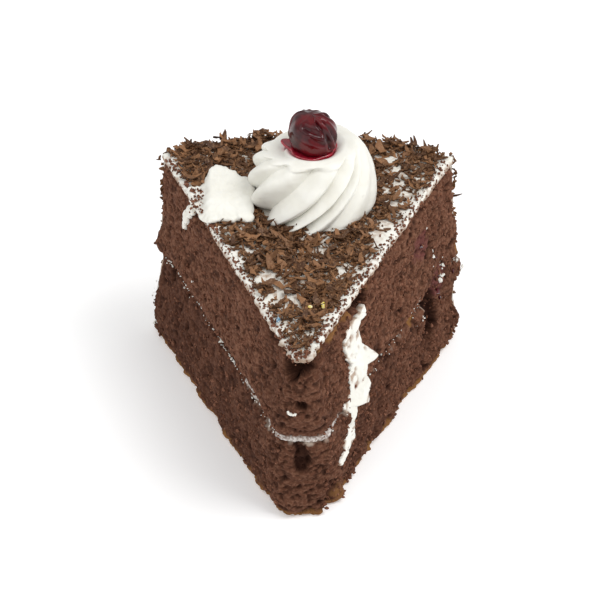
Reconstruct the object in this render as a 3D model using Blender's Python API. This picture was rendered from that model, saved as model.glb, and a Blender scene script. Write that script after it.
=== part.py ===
"""A slice of chocolate layer cake, standing on its base with its tip towards -Y.

Two sponge layers lie on either side of a thin cream filling. Whipped cream covers the top
and runs down the round outer side. A piped swirl with a cherry stands on the top, beside a
dab of cream at the left cut, and one more streak of cream lies down the right cut.

Sizes are in millimetres from the cake's own axis, which is just in front of the slice's tip:
+Y runs to the round outer side, +Z up. An empty then puts the middle of the slice's base
at the world's origin. "along" is a distance from the axis along a cut.
"""

import math

import bpy
from mathutils import Vector

MM = 0.001
GAP = 0.3  # clearance between two pieces that touch

# The whole cake, and how the slice is cut from it.
CAKE_RADIUS = 114.0
CAKE_HEIGHT = 65.0
CUT_ANGLE = {-1: math.radians(21.7), 1: math.radians(24.2)}  # left and right of +Y

# Layers, from the base up.
LOWER_TOP = 29.3
FILLING_THICK = 1.2
CREAM_THICK = 3.0
WALL_THICK = 1.6
FILLING_LOW = LOWER_TOP + GAP
FILLING_TOP = FILLING_LOW + FILLING_THICK
UPPER_LOW = FILLING_TOP + GAP
CREAM_LOW = CAKE_HEIGHT - CREAM_THICK
UPPER_TOP = CREAM_LOW - GAP
SPONGE_RADIUS = CAKE_RADIUS - WALL_THICK - GAP

# How far each cut face stands out from a sheer cut, as (height, at the tip, at the back).
STAND_OUT = {
    -1: (
        (0, 2.0, 4.4), (12, 2.6, 4.6), (26, 3.0, 1.6), (36, 2.6, 2.2), (48, 1.0, 0.8), (62, 0.6, 0.3),
        (65, 0.9, 0.4),
    ),
    1: (
        (0, 1.4, 3.4), (12, 2.2, 2.4), (26, 3.4, 2.8), (36, 3.0, 2.0), (48, 1.2, 0.8), (62, 0.6, 0.3),
        (65, 0.9, 0.4),
    ),
}
# The blunt tip's distance from the axis, by height. The cream stands out past the sponge.
TIP_BACK = (
    (0, 9.8), (20, 8.6), (30, 7.4), (45, 4.6), (55, 4.2), (58, 6.2), (61.5, 7.0), (62, 3.2), (65, 3.0),
)
NOSE_DEPTH = 4.5  # how far behind the tip's front its curve leaves the cuts
# How square the tip is from above, by height: 1 for a flat front, 0 for a point.
NOSE_SQUARE = ((0, 0.8), (10, 1.0), (40, 1.0), (58, 0.9), (61, 0.8), (62, 0.95), (65, 0.9))

# Steps along each stretch of a section.
CUT_STEPS, TIP_STEPS, BACK_STEPS = 17, 12, 20

# The piped swirl.
SWIRL_PLACE = Vector((3.3, 80.5, CAKE_HEIGHT + GAP))
SWIRL_RADIUS = 19.0
SWIRL_HEIGHT = 18.6
SWIRL_LEAN = 0.7  # how much the height and radius grow towards its full side
FULL_SIDE = math.radians(40.0)
LOBE_SIDE = math.radians(172.0)  # where the piping hangs out over its foot
LOBE_DROP, LOBE_OUT, LOBE_FOOT = 1.8, 1.6, 1.8
FRONT_SIDE = math.radians(-100.0)
FRONT_SPREAD = 1.6
LOW_SIDE = math.radians(22.0)  # how far below its widest level the round side starts
COLLAR_RADIUS = 8.0
COLLAR_LEAN = 2.4
DISH_RADIUS = 7.1
DISH_DEPTH = 0.7
# Its ridges, counter-clockwise: (the foot's angle, how far it turns to the top, depth of the
# valley after it), angles in degrees.
SWIRL_RIDGES = (
    (-171, 62, 4.8), (-130, 92, 3.8), (-112, 112, 4.2), (-93, 108, 2.0), (-62, 92, 0.5), (-20, 80, 0.3),
    (30, 70, 0.3), (80, 62, 1.0), (115, 56, 2.8), (138, 54, 3.6), (163, 56, 4.2),
)
STEPS_PER_RIDGE, SWIRL_RINGS = 9, 12

# The cherry.
CHERRY_RADIUS = 7.1
CHERRY_SQUASH = 0.92
CHERRY_SHIFT = (0.8, 0.4)  # its place on the swirl
CHERRY_FOOT = 40.0  # degrees below its middle at which it is cut flat
CHERRY_STEPS, CHERRY_RINGS = 28, 14

# The dab of cream at the left cut, seen from above, and its heights.
DAB_OUTLINE = (
    (-13.6, 79.5), (-14.6, 84.0), (-18.6, 86.4), (-22.4, 89.4), (-26.4, 90.6), (-28.4, 87.0),
    (-30.6, 84.4), (-34.2, 84.2), (-33.6, 79.4), (-32.4, 75.2), (-30.8, 72.2), (-29.8, 68.6),
    (-27.4, 66.4), (-23.6, 67.4), (-20.8, 66.8), (-18.4, 67.6), (-15.8, 66.6), (-13.8, 68.0),
)
DAB_FRONT_HEIGHT, DAB_BACK_HEIGHT = 1.7, 6.2
DAB_SKIRT = 0.6  # how much lower it gets towards the cut's edge
DAB_KEEP_OFF = 1.4  # from the swirl's foot circle
DAB_STEPS = 3  # points between two of the outline's

# The streak of cream on the right cut, from its top down: (level, from along, to along). A level
# slopes down away from the tip, and is the height that it has at the middle distance.
SMEAR_ROWS = (
    (65.0, 40.6, 44.0), (63.3, 39.1, 44.7), (61.0, 38.0, 44.0), (59.6, 33.5, 39.0), (56.0, 28.4, 37.8),
    (51.4, 27.1, 39.0), (48.9, 27.2, 45.2), (47.1, 28.0, 48.9), (45.3, 28.0, 44.5), (43.8, 29.1, 40.0),
    (40.8, 28.8, 40.1), (37.9, 27.4, 42.9), (32.4, 26.0, 40.3), (29.8, 25.6, 40.9), (28.6, 22.6, 32.0),
    (26.1, 24.7, 31.4), (19.3, 26.3, 32.8), (16.2, 26.4, 32.4), (13.7, 24.8, 29.7), (10.7, 23.5, 27.5),
    (8.2, 21.7, 24.9), (6.4, 20.3, 22.6),
)
SMEAR_SLOPE, SMEAR_MIDDLE = -0.67, 30.0
SMEAR_THICK = 1.5

COLOURS = {  # base colour, roughness
    "sponge": ((0.105, 0.050, 0.031), 0.9),
    "cream": ((0.86, 0.84, 0.78), 0.5),
    "cherry": ((0.07, 0.004, 0.007), 0.12),
}


def clear_scene():
    for thing in list(bpy.data.objects):
        bpy.data.objects.remove(thing, do_unlink=True)


def material(name):
    """One Principled material in one of the cake's colours."""
    colour, roughness = COLOURS[name.split("_")[0]]
    made = bpy.data.materials.new(name)
    made.use_nodes = True
    shader = made.node_tree.nodes["Principled BSDF"]
    shader.inputs["Base Color"].default_value = (*colour, 1.0)
    shader.inputs["Roughness"].default_value = roughness
    shader.inputs["Metallic"].default_value = 0.0
    return made


def between(table, at):
    """The values of a table's rows, each starting with its place, eased between two rows."""
    if at <= table[0][0]:
        return table[0][1:]
    for low, high in zip(table, table[1:]):
        if at <= high[0]:
            part = (at - low[0]) / (high[0] - low[0])
            return tuple(a + (b - a) * part for a, b in zip(low[1:], high[1:]))
    return table[-1][1:]


def smooth_step(low, high, value):
    part = min(1.0, max(0.0, (value - low) / (high - low)))
    return part * part * (3.0 - 2.0 * part)


def on_cut(side, along, height, out=0.0):
    """A point on a cut face. out is its distance in front of the face."""
    angle = CUT_ANGLE[side]
    tip, back = between(STAND_OUT[side], height)
    stand = out + tip + (back - tip) * smooth_step(10.0, CAKE_RADIUS, along)
    x = along * math.sin(angle) + stand * math.cos(angle)
    y = along * math.cos(angle) - stand * math.sin(angle)
    return Vector((side * x, y, height))


def cut_end(side, radius, height, out=0.0):
    """How far along a cut the face meets a circle of this radius."""
    stand = out + between(STAND_OUT[side], height)[1]
    return math.sqrt(radius**2 - stand**2)


def arc(radius, start, end, steps, height):
    """Points on a circle about the axis, from one point's direction to another's."""
    low, high = (math.atan2(p.y, p.x) for p in (start, end))
    turns = [low + (high - low) * i / steps for i in range(steps + 1)]
    return [Vector((radius * math.cos(t), radius * math.sin(t), height)) for t in turns]


def section(height, radius, out=0.0, wall=None):
    """The slice's outline at one height, counter-clockwise from above.

    It holds the right cut, the round side, the left cut and the tip. With wall, each cut's
    last point but one lies where the inside of a wall of that thickness meets the cut.
    """
    front = between(TIP_BACK, height)[0] - out

    def cut(side):
        angle = CUT_ANGLE[side]
        stand = out + between(STAND_OUT[side], height)[0]
        start = (front + NOSE_DEPTH + stand * math.sin(angle)) / math.cos(angle)
        end = cut_end(side, radius, height, out)
        last = end - (wall or (end - start) / CUT_STEPS)
        places = [start + (last - start) * i / (CUT_STEPS - 1) for i in range(CUT_STEPS)]
        return [on_cut(side, place, height, out) for place in places + [end]]

    right, left = cut(1), cut(-1)
    back = arc(radius, right[-1], left[-1], BACK_STEPS, height)
    first, last = left[0], right[0]
    square = between(NOSE_SQUARE, height)[0]
    near, far = (Vector((end.x * square, front - NOSE_DEPTH / 3, height)) for end in (first, last))
    tip = []
    for i in range(1, TIP_STEPS):
        t = i / TIP_STEPS
        tip.append(first * (1 - t) ** 3 + near * 3 * t * (1 - t) ** 2
                   + far * 3 * t**2 * (1 - t) + last * t**3)
    return right + back[1:-1] + left[::-1] + tip


def make_object(name, points, faces, look, holder):
    """A closed mesh object in metres, shaded smooth, with its faces out."""
    mesh = bpy.data.meshes.new(name)
    mesh.from_pydata([tuple(p * MM for p in point) for point in points], [], faces)
    mesh.validate()
    mesh.update()
    mesh.materials.append(material(look))
    mesh.shade_smooth()
    mesh.set_sharp_from_angle(angle=math.radians(40.0))
    made = bpy.data.objects.new(name, mesh)
    bpy.context.collection.objects.link(made)
    made.parent = holder
    return made


def loft(loops):
    """Points and faces of a closed solid through loops that run counter-clockwise, upwards."""
    count = len(loops[0])
    points = [point for loop in loops for point in loop]
    faces = [tuple(reversed(range(count)))]
    for row in range(len(loops) - 1):
        low, high = row * count, (row + 1) * count
        for i in range(count):
            j = (i + 1) % count
            faces.append((low + i, low + j, high + j, high + i))
    faces.append(tuple(range(len(points) - count, len(points))))
    return points, faces


def sponge_layer(name, heights, holder):
    """One sponge layer, whose corners at its lowest and highest sections are eased."""
    loops = [section(heights[0], SPONGE_RADIUS - 0.5, -0.5)]
    loops += [section(height, SPONGE_RADIUS) for height in heights[1:-1]]
    loops.append(section(heights[-1], SPONGE_RADIUS - 0.4, -0.4))
    return make_object(name, *loft(loops), "sponge_" + name, holder)


def cream_filling(holder):
    """The thin layer between the sponges, a little behind their faces."""
    middle = (FILLING_LOW + FILLING_TOP) / 2
    loops = [
        section(FILLING_LOW, SPONGE_RADIUS - 0.7, -0.7),
        section(middle, SPONGE_RADIUS - 0.1, -0.3),
        section(FILLING_TOP, SPONGE_RADIUS - 0.7, -0.7),
    ]
    return make_object("cream_filling", *loft(loops), "cream_filling", holder)


def cream_coat(holder):
    """The cream over the top and down the round side, as one solid of L section."""
    levels = ((CREAM_LOW, 0.0), (CREAM_LOW + 0.8, 0.15), (CAKE_HEIGHT - 0.7, 0.1), (CAKE_HEIGHT, -0.7))
    plate = [section(height, CAKE_RADIUS + min(out, 0.0), out, WALL_THICK) for height, out in levels]
    count = len(plate[0])
    points = [point for loop in plate for point in loop]
    faces = [tuple(range(len(points) - count, len(points)))]
    for row in range(len(plate) - 1):
        low, high = row * count, (row + 1) * count
        for i in range(count):
            j = (i + 1) % count
            faces.append((low + i, low + j, high + j, high + i))

    # The wall's first loop: the plate's own lower edge round the back, and a new inner arc.
    right_corner = CUT_STEPS
    left_corner = right_corner + BACK_STEPS
    outer = list(range(right_corner, left_corner + 1))
    inner_ends = (left_corner + 1, right_corner - 1)
    inner_radius = CAKE_RADIUS - WALL_THICK
    inner = arc(inner_radius, points[inner_ends[0]], points[inner_ends[1]], BACK_STEPS, CREAM_LOW)
    first_new = len(points)
    points += inner[1:-1]
    inner_row = [inner_ends[0], *range(first_new, len(points)), inner_ends[1]]
    upper = outer + inner_row
    faces.append(tuple(reversed([*range(0, right_corner), *reversed(inner_row[1:-1]),
                                 *range(left_corner + 1, count)])))

    for height in (48.0, 36.0, 26.0, 12.0, 4.0, 0.0):
        ends = [on_cut(side, cut_end(side, CAKE_RADIUS, height), height) for side in (1, -1)]
        loop = arc(CAKE_RADIUS, *ends, BACK_STEPS, height)
        ends = [on_cut(side, cut_end(side, inner_radius, height), height) for side in (-1, 1)]
        loop += arc(inner_radius, *ends, BACK_STEPS, height)
        lower = list(range(len(points), len(points) + len(loop)))
        points += loop
        for i in range(len(loop)):
            j = (i + 1) % len(loop)
            faces.append((lower[i], lower[j], upper[j], upper[i]))
        upper = lower
    for i in range(BACK_STEPS):
        mate = 2 * BACK_STEPS + 1 - i
        faces.append((upper[i + 1], upper[i], upper[mate], upper[mate - 1]))
    return make_object("cream_coat", points, faces, "cream_coat", holder)


def towards(turn, side, narrow):
    """1 in a direction and less away from it."""
    return math.exp(narrow * (math.cos(turn - side) - 1.0))


def swirl_point(line, rise):
    """A point on the swirl. line counts its ridges round it, and rise runs from 0 at the base
    to 1 on the collar's crest."""
    count = len(SWIRL_RIDGES)
    first = SWIRL_RIDGES[0]
    rows = [(i, *ridge) for i, ridge in enumerate(SWIRL_RIDGES)]
    rows.append((count, first[0] + 360.0, *first[1:]))
    foot, twist, _ = between(rows, line)
    turn = math.radians(foot + twist * rise)
    full = 0.5 + 0.5 * math.cos(turn - FULL_SIDE)
    lobe = towards(turn, LOBE_SIDE, 3.0)
    front = towards(turn, FRONT_SIDE, 1.6)
    radius = SWIRL_RADIUS + SWIRL_LEAN * full + 0.4 * lobe + FRONT_SPREAD * front * (1.0 - rise)
    height = SWIRL_HEIGHT + SWIRL_LEAN * full - LOBE_DROP * lobe
    roundness = 1.0 - 0.6 * front * (1.0 - lobe)
    low = LOW_SIDE * roundness
    bend = (math.pi / 2 + low) * rise - low
    round_out = max(math.cos(bend), 0.0) ** (0.8 - 0.2 * lobe)
    round_up = (math.sin(bend) + math.sin(low)) / (1 + math.sin(low))
    collar = COLLAR_RADIUS + COLLAR_LEAN * full
    out = collar + (radius - collar) * ((1 - roundness) * (1 - rise) + roundness * round_out)
    out += lobe * (LOBE_OUT * rise * (1.0 - smooth_step(0.65, 0.95, rise)) - LOBE_FOOT * (1.0 - rise) ** 2)

    _, _, depth = between(rows, (line - 0.5) % count)
    flute = 1.0 - abs(math.cos(math.pi * line)) ** 1.25
    fade = (1.0 - 0.5 * rise) * (1.0 - smooth_step(0.80, 0.95, rise))
    out -= depth * flute * fade
    up = height * ((1 - roundness) * rise + roundness * round_up)
    return Vector((out * math.cos(turn), out * math.sin(turn), up))


def cream_swirl(holder):
    """The piped swirl: twisted ridges round a dome, with a shallow dish inside its collar."""
    lines = [i / STEPS_PER_RIDGE for i in range(STEPS_PER_RIDGE * len(SWIRL_RIDGES))]
    rises = [0.0, 0.04, 0.1] + [0.1 + 0.9 * i / (SWIRL_RINGS - 3) for i in range(1, SWIRL_RINGS - 2)]
    loops = [[SWIRL_PLACE + swirl_point(line, rise) for line in lines] for rise in rises]
    floor = SWIRL_HEIGHT - DISH_DEPTH
    for inward in (0.55, 1.0):
        loop = []
        for point in loops[len(rises) - 1]:
            crest = point - SWIRL_PLACE
            edge = (crest.to_2d().normalized() * DISH_RADIUS).to_3d()
            edge.z = floor
            loop.append(SWIRL_PLACE + crest.lerp(edge, inward) + Vector((0, 0, 0.3 * (1 - inward))))
        loops.append(loop)
    return make_object("cream_swirl", *loft(loops), "cream_swirl", holder)


def cherry(holder):
    """A cooked cherry: a slumped ball on a broad foot, with a steep left flank and folds."""
    floor = SWIRL_PLACE.z + SWIRL_HEIGHT - DISH_DEPTH + GAP
    place = Vector((SWIRL_PLACE.x + CHERRY_SHIFT[0], SWIRL_PLACE.y + CHERRY_SHIFT[1], floor))
    foot = math.radians(CHERRY_FOOT)

    def point(turn, rise):
        lean = -foot + (math.pi / 2 + foot) * rise
        fold = 1.0 - 0.05 * math.cos(3 * turn + 4 * rise) - 0.03 * math.cos(5 * turn - 6 * rise)
        out = CHERRY_RADIUS * fold * math.cos(lean) ** 0.55
        up = CHERRY_RADIUS * CHERRY_SQUASH * (math.sin(lean) + math.sin(foot))
        right = max(0.0, math.cos(turn))
        x = out * math.cos(turn) - 0.2 * up * right
        return place + Vector((x, out * math.sin(turn), up))

    turns = [2 * math.pi * i / CHERRY_STEPS for i in range(CHERRY_STEPS)]
    rises = [0.97 * i / (CHERRY_RINGS - 1) for i in range(CHERRY_RINGS)]
    loops = [[point(turn, rise) for turn in turns] for rise in rises]
    return make_object("cherry", *loft(loops), "cherry", holder)


def closed_curve(corners, steps):
    """A smooth closed curve through corners, by Catmull-Rom, with steps points for each."""
    count = len(corners)
    curve = []
    for i in range(count):
        a, b, c, d = (Vector(corners[(i + k) % count]) for k in (-1, 0, 1, 2))
        for j in range(steps):
            t = j / steps
            curve.append(0.5 * (2 * b + (c - a) * t + (2 * a - 5 * b + 4 * c - d) * t**2
                                + (3 * b - a - 3 * c + d) * t**3))
    return curve


def cream_dab(holder):
    """A torn slab of cream, highest at its back, that reaches the left cut's edge."""
    rim = closed_curve(DAB_OUTLINE, DAB_STEPS)
    middle = sum(rim, Vector((0.0, 0.0))) / len(rim)
    keep_off = SWIRL_RADIUS + DAB_KEEP_OFF
    swirl = SWIRL_PLACE.to_2d()
    loops = []
    for grow, level in ((0.93, 0.0), (1.0, 0.18), (1.0, 0.5), (0.94, 0.8), (0.8, 0.95), (0.5, 1.0)):
        loop = []
        for spot in rim:
            spot = middle + (spot - middle) * grow
            away = spot - swirl
            if away.length < keep_off:
                spot = swirl + away.normalized() * keep_off
            back = max(0.0, (spot.y - 66.0) / 24.0)
            left = smooth_step(26.8, 30.6, -spot.x)
            rise = DAB_FRONT_HEIGHT + (DAB_BACK_HEIGHT - DAB_FRONT_HEIGHT) * back
            rise *= 1.0 - DAB_SKIRT * left
            loop.append(Vector((*spot, CAKE_HEIGHT + GAP + rise * level)))
        loops.append(loop[::-1] if clockwise(rim) else loop)
    return make_object("cream_dab", *loft(loops), "cream_dab", holder)


def clockwise(rim):
    pairs = zip(rim, rim[1:] + rim[:1])
    return sum(a.x * b.y - b.x * a.y for a, b in pairs) < 0


def cream_smear(holder):
    """A streak of cream pressed on the right cut, thickest along its middle."""
    back_profile = [(0.0, 0.0), (0.25, 0.0), (0.5, 0.0), (0.75, 0.0), (1.0, 0.0)]
    front_profile = [(0.94, 0.75), (0.7, 1.0), (0.3, 1.0), (0.06, 0.75)]
    loops = []
    for level, start, end in SMEAR_ROWS:
        close = 0.35 if level in (SMEAR_ROWS[0][0], SMEAR_ROWS[-1][0]) else 1.0
        loop = []
        for across, lift in back_profile + front_profile:
            along = start + (end - start) * across
            height = level + SMEAR_SLOPE * (along - SMEAR_MIDDLE)
            out = GAP + 0.1 + SMEAR_THICK * lift * close
            loop.append(on_cut(1, along, height, out))
        loops.append(loop)
    return make_object("cream_smear", *loft(loops), "cream_smear", holder)


def centre_base(holder):
    """Moves the holder so that the middle of the slice's base is at the origin."""
    spots = [corner for child in holder.children for corner in child.bound_box]
    low = [min(spot[i] for spot in spots) for i in range(3)]
    high = [max(spot[i] for spot in spots) for i in range(3)]
    holder.location = (-(low[0] + high[0]) / 2, -(low[1] + high[1]) / 2, -low[2])


def main():
    clear_scene()
    holder = bpy.data.objects.new("slice", None)
    bpy.context.collection.objects.link(holder)
    sponge_layer("sponge_lower", (0.0, 0.8, 6.0, 12.0, 20.0, 26.0, 28.6, LOWER_TOP), holder)
    cream_filling(holder)
    upper = (UPPER_LOW, UPPER_LOW + 0.8, 36.0, 42.0, 48.0, 55.0, 58.0, 61.0, UPPER_TOP)
    sponge_layer("sponge_upper", upper, holder)
    cream_coat(holder)
    cream_swirl(holder)
    cherry(holder)
    cream_dab(holder)
    cream_smear(holder)
    centre_base(holder)


main()
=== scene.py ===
"""The looks of a slice of chocolate layer cake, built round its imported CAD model.

Shapes are worked out in millimetres from the cake's own axis, which is just in front of
the slice's tip: +Y runs to the round outer side, +Z up. to_world() takes them to the frame's
metres. "along" is a distance from the axis along a cut, "out" a distance in front of one.
"""

import math

import bpy
import numpy as np
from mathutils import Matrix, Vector


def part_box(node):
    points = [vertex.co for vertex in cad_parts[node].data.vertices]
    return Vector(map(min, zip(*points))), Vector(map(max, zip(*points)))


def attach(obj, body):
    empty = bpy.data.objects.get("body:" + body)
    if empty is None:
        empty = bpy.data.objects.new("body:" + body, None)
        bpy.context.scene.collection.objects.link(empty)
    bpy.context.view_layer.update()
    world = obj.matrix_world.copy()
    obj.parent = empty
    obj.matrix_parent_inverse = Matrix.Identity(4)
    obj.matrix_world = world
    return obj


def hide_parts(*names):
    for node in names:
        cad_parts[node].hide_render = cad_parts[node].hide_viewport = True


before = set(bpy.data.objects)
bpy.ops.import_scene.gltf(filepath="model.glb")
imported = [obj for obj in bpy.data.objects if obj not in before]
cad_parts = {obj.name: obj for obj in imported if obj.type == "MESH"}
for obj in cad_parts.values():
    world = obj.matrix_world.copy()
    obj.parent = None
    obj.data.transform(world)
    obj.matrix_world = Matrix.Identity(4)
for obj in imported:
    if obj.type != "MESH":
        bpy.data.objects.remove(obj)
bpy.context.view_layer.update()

MM = 0.001
LEFT, RIGHT = -1, 1

# The CAD model's driving sizes.
CAKE_RADIUS = 114.0
CAKE_HEIGHT = 65.0
CUT_ANGLE = {LEFT: math.radians(21.7), RIGHT: math.radians(24.2)}
LOWER_TOP, UPPER_LOW = 29.3, 31.1
CREAM_LOW = 62.0
WALL_THICK = 1.6
SPONGE_RADIUS = CAKE_RADIUS - WALL_THICK - 0.3
# How far each cut stands out from a sheer one, as (height, at the tip, at the back).
STAND_OUT = {
    LEFT: (
        (0, 2.0, 4.4), (12, 2.6, 4.6), (26, 3.0, 1.6), (36, 2.6, 2.2),
        (48, 1.0, 0.8), (62, 0.6, 0.3), (65, 0.9, 0.4),
    ),
    RIGHT: (
        (0, 1.4, 3.4), (12, 2.2, 2.4), (26, 3.4, 2.8), (36, 3.0, 2.0),
        (48, 1.2, 0.8), (62, 0.6, 0.3), (65, 0.9, 0.4),
    ),
}
# The blunt tip's distance from the axis, and how square it is from above, by height.
TIP_BACK = (
    (0, 9.8), (20, 8.6), (30, 7.4), (45, 4.6), (55, 4.2), (58, 6.2), (61.5, 7.0), (62, 3.2), (65, 3.0),
)
NOSE_SQUARE = ((0, 0.8), (10, 1.0), (40, 1.0), (58, 0.9), (61, 0.8), (62, 0.95), (65, 0.9))
NOSE_DEPTH = 4.5  # how far behind the tip's front its curve leaves the cuts
SWIRL_PLACE = np.array((3.3, 80.5, CAKE_HEIGHT + 0.3))
SWIRL_RADIUS, SWIRL_HEIGHT, SWIRL_LEAN = 19.0, 18.6, 0.7
FULL_SIDE = math.radians(40.0)  # where the swirl is fullest
COLLAR_RADIUS, COLLAR_LEAN = 8.0, 2.4
DISH_RADIUS, DISH_DEPTH = 7.1, 0.7
CHERRY_RADIUS, CHERRY_SQUASH, CHERRY_FOOT = 7.1, 0.92, math.radians(40.0)


# ---------------- numbers and noise


def column(rows, index, at):
    """A table's column at these places, straight between its rows."""
    return np.interp(at, [row[0] for row in rows], [row[index] for row in rows])


def smooth_step(low, high, value):
    """0 up to low, 1 from high, and a smooth rise between."""
    part = np.clip((np.asarray(value, float) - low) / (high - low), 0.0, 1.0)
    return part * part * (3.0 - 2.0 * part)


def falling(low, high, value):
    """1 up to low, 0 from high, and a smooth fall between."""
    return 1.0 - smooth_step(low, high, value)


def bell(value, middle, width):
    """1 at the middle, falling smoothly to 0 on both sides."""
    return np.exp(-(((value - middle) / width) ** 2))


def polar(out, turn, up):
    """Points at a distance and an angle round +Z, and at a height."""
    return np.stack(np.broadcast_arrays(out * np.cos(turn), out * np.sin(turn), up), axis=-1)


def full_turn(steps):
    """The angles of this many steps all round."""
    return np.arange(steps) * 2 * math.pi / steps


def scramble(cells, seed):
    """A number from 0 to 1 for each whole-numbered cell."""
    mask = np.uint64(0xFFFFFFFF)
    c = cells.astype(np.int64).astype(np.uint64) & mask
    h = c[..., 0] * np.uint64(374761393) + c[..., 1] * np.uint64(668265263)
    h = (h + c[..., 2] * np.uint64(2246822519) + np.uint64(seed * 3266489917 & 0xFFFFFFFF)) & mask
    for shift in (15, 13):
        h = ((h ^ (h >> np.uint64(shift))) * np.uint64(2654435761)) & mask
    h ^= h >> np.uint64(16)
    return h.astype(float) / 4294967295.0


def noise(points, size, seed):
    """Smooth noise from -1 to 1 with features of this size."""
    p = np.asarray(points, float) / size
    low = np.floor(p)
    f = p - low
    f = f * f * f * (f * (f * 6.0 - 15.0) + 10.0)
    total = np.zeros(p.shape[:-1])
    for corner in np.ndindex(2, 2, 2):
        weight = np.prod(np.where(np.array(corner) == 1, f, 1.0 - f), axis=-1)
        total += weight * scramble(low + corner, seed)
    return total * 2.0 - 1.0


def cells(points, size, seed):
    """Distance to the nearest scattered spot, in cells, and that spot's own number."""
    p = np.asarray(points, float) / size
    low = np.floor(p)
    best = np.full(p.shape[:-1], 9.0)
    number = np.zeros(p.shape[:-1])
    for step in np.ndindex(3, 3, 3):
        cell = low + (np.array(step) - 1)
        spot = cell + np.stack([scramble(cell, seed + k) for k in range(3)], axis=-1)
        away = np.linalg.norm(p - spot, axis=-1)
        nearer = away < best
        best = np.where(nearer, away, best)
        number = np.where(nearer, scramble(cell, seed + 3), number)
    return best, number


# ---------------- the slice's outline


def on_cut(side, along, height, out=0.0):
    """Points on a cut face."""
    along, height = np.broadcast_arrays(np.asarray(along, float), np.asarray(height, float))
    angle = CUT_ANGLE[side]
    tip = column(STAND_OUT[side], 1, height)
    back = column(STAND_OUT[side], 2, height)
    stand = out + tip + (back - tip) * smooth_step(10.0, CAKE_RADIUS, along)
    x = along * math.sin(angle) + stand * math.cos(angle)
    y = along * math.cos(angle) - stand * math.sin(angle)
    return np.stack([side * x, y, height + 0.0 * x], axis=-1)


def far_end(side, height, radius=CAKE_RADIUS, out=0.0):
    """How far along a cut the round side is."""
    return np.sqrt(radius**2 - (out + column(STAND_OUT[side], 2, height)) ** 2)


def inside_cut(side, x, y):
    """How far a place is inside a cut's sheer plane."""
    return -side * x * math.cos(CUT_ANGLE[side]) + y * math.sin(CUT_ANGLE[side])


def cut_normal(side):
    """The outward normal of a cut's sheer plane."""
    return np.array([side * math.cos(CUT_ANGLE[side]), -math.sin(CUT_ANGLE[side]), 0.0])


def arc(radius, start, end, steps, height):
    """Points round the axis from one point's direction to another's."""
    low, high = math.atan2(start[1], start[0]), math.atan2(end[1], end[0])
    return polar(radius, np.linspace(low, high, steps + 1), height)


def section(height, radius, out, counts):
    """The slice's outline at one height, counter-clockwise: right cut, back, left cut, tip."""
    cut_count, back_count, tip_count = counts
    front = column(TIP_BACK, 1, height) - out

    def cut(side):
        angle = CUT_ANGLE[side]
        stand = out + column(STAND_OUT[side], 1, height)
        start = (front + NOSE_DEPTH + stand * math.sin(angle)) / math.cos(angle)
        return on_cut(side, np.linspace(start, far_end(side, height, radius, out), cut_count), height, out)

    right, left = cut(RIGHT), cut(LEFT)
    back = arc(radius, right[-1], left[-1], back_count, height)
    first, last = left[0], right[0]
    square = column(NOSE_SQUARE, 1, height)
    reach = front - NOSE_DEPTH / 3
    near = np.array([first[0] * square, reach, height])
    far = np.array([last[0] * square, reach, height])
    t = np.linspace(0, 1, tip_count + 1)[1:-1, None]
    tip = first * (1 - t) ** 3 + near * 3 * t * (1 - t) ** 2 + far * 3 * t**2 * (1 - t) + last * t**3
    return np.concatenate([right, back[1:-1], left[::-1], tip])


def slice_place():
    """The cake's axis on the frame's floor, in millimetres."""
    low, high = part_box("cream_coat")
    heights = np.linspace(0.0, CREAM_LOW, 200)
    farthest = on_cut(LEFT, far_end(LEFT, heights), heights)[:, 0].min()
    return np.array([low.x / MM - farthest, high.y / MM - CAKE_RADIUS, 0.0])


PLACE = slice_place()


def to_world(points):
    """These places in the frame, in metres."""
    return (np.asarray(points, float) + PLACE) * MM


# ---------------- meshes


def piece(name, points, look, values=None, replaced=(), faces=None, sharp=None):
    """A mesh object of the slice, lofted through rows of points unless it has faces of its own.

    The values are numbers for its points, which its look can read.
    """
    if faces is None:
        faces = loft_faces(*points.shape[:2])
    mesh = bpy.data.meshes.new(name)
    mesh.from_pydata(to_world(points).reshape(-1, 3).tolist(), [], faces)
    mesh.validate()
    mesh.update()
    mesh.shade_smooth()
    if sharp is not None:
        mesh.set_sharp_from_angle(angle=math.radians(sharp))
    for label, numbers in (values or {}).items():
        attribute = mesh.attributes.new(label, "FLOAT", "POINT")
        attribute.data.foreach_set("value", np.asarray(numbers, np.float32).ravel())
    mesh.materials.append(look)
    made = bpy.data.objects.new(name, mesh)
    bpy.context.scene.collection.objects.link(made)
    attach(made, "root")
    if replaced:
        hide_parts(*replaced)


def loft_faces(rows, count, first=0):
    """Quads through rows of points that run counter-clockwise, and their end faces."""
    i = np.arange(count)
    j = (i + 1) % count
    faces = []
    for row in range(rows - 1):
        low, high = first + row * count, first + (row + 1) * count
        faces += np.stack([low + i, low + j, high + j, high + i], axis=-1).tolist()
    return [*faces, (first + i[::-1]).tolist(), (first + (rows - 1) * count + i).tolist()]


def normals_of(grid):
    """Outward normals of a closed ring of points in rows that go up."""
    around = np.roll(grid, -1, axis=1) - np.roll(grid, 1, axis=1)
    up = np.gradient(grid, axis=0)
    n = np.cross(around, up)
    return n / np.maximum(np.linalg.norm(n, axis=-1, keepdims=True), 1e-9)


# ---------------- materials


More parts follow.
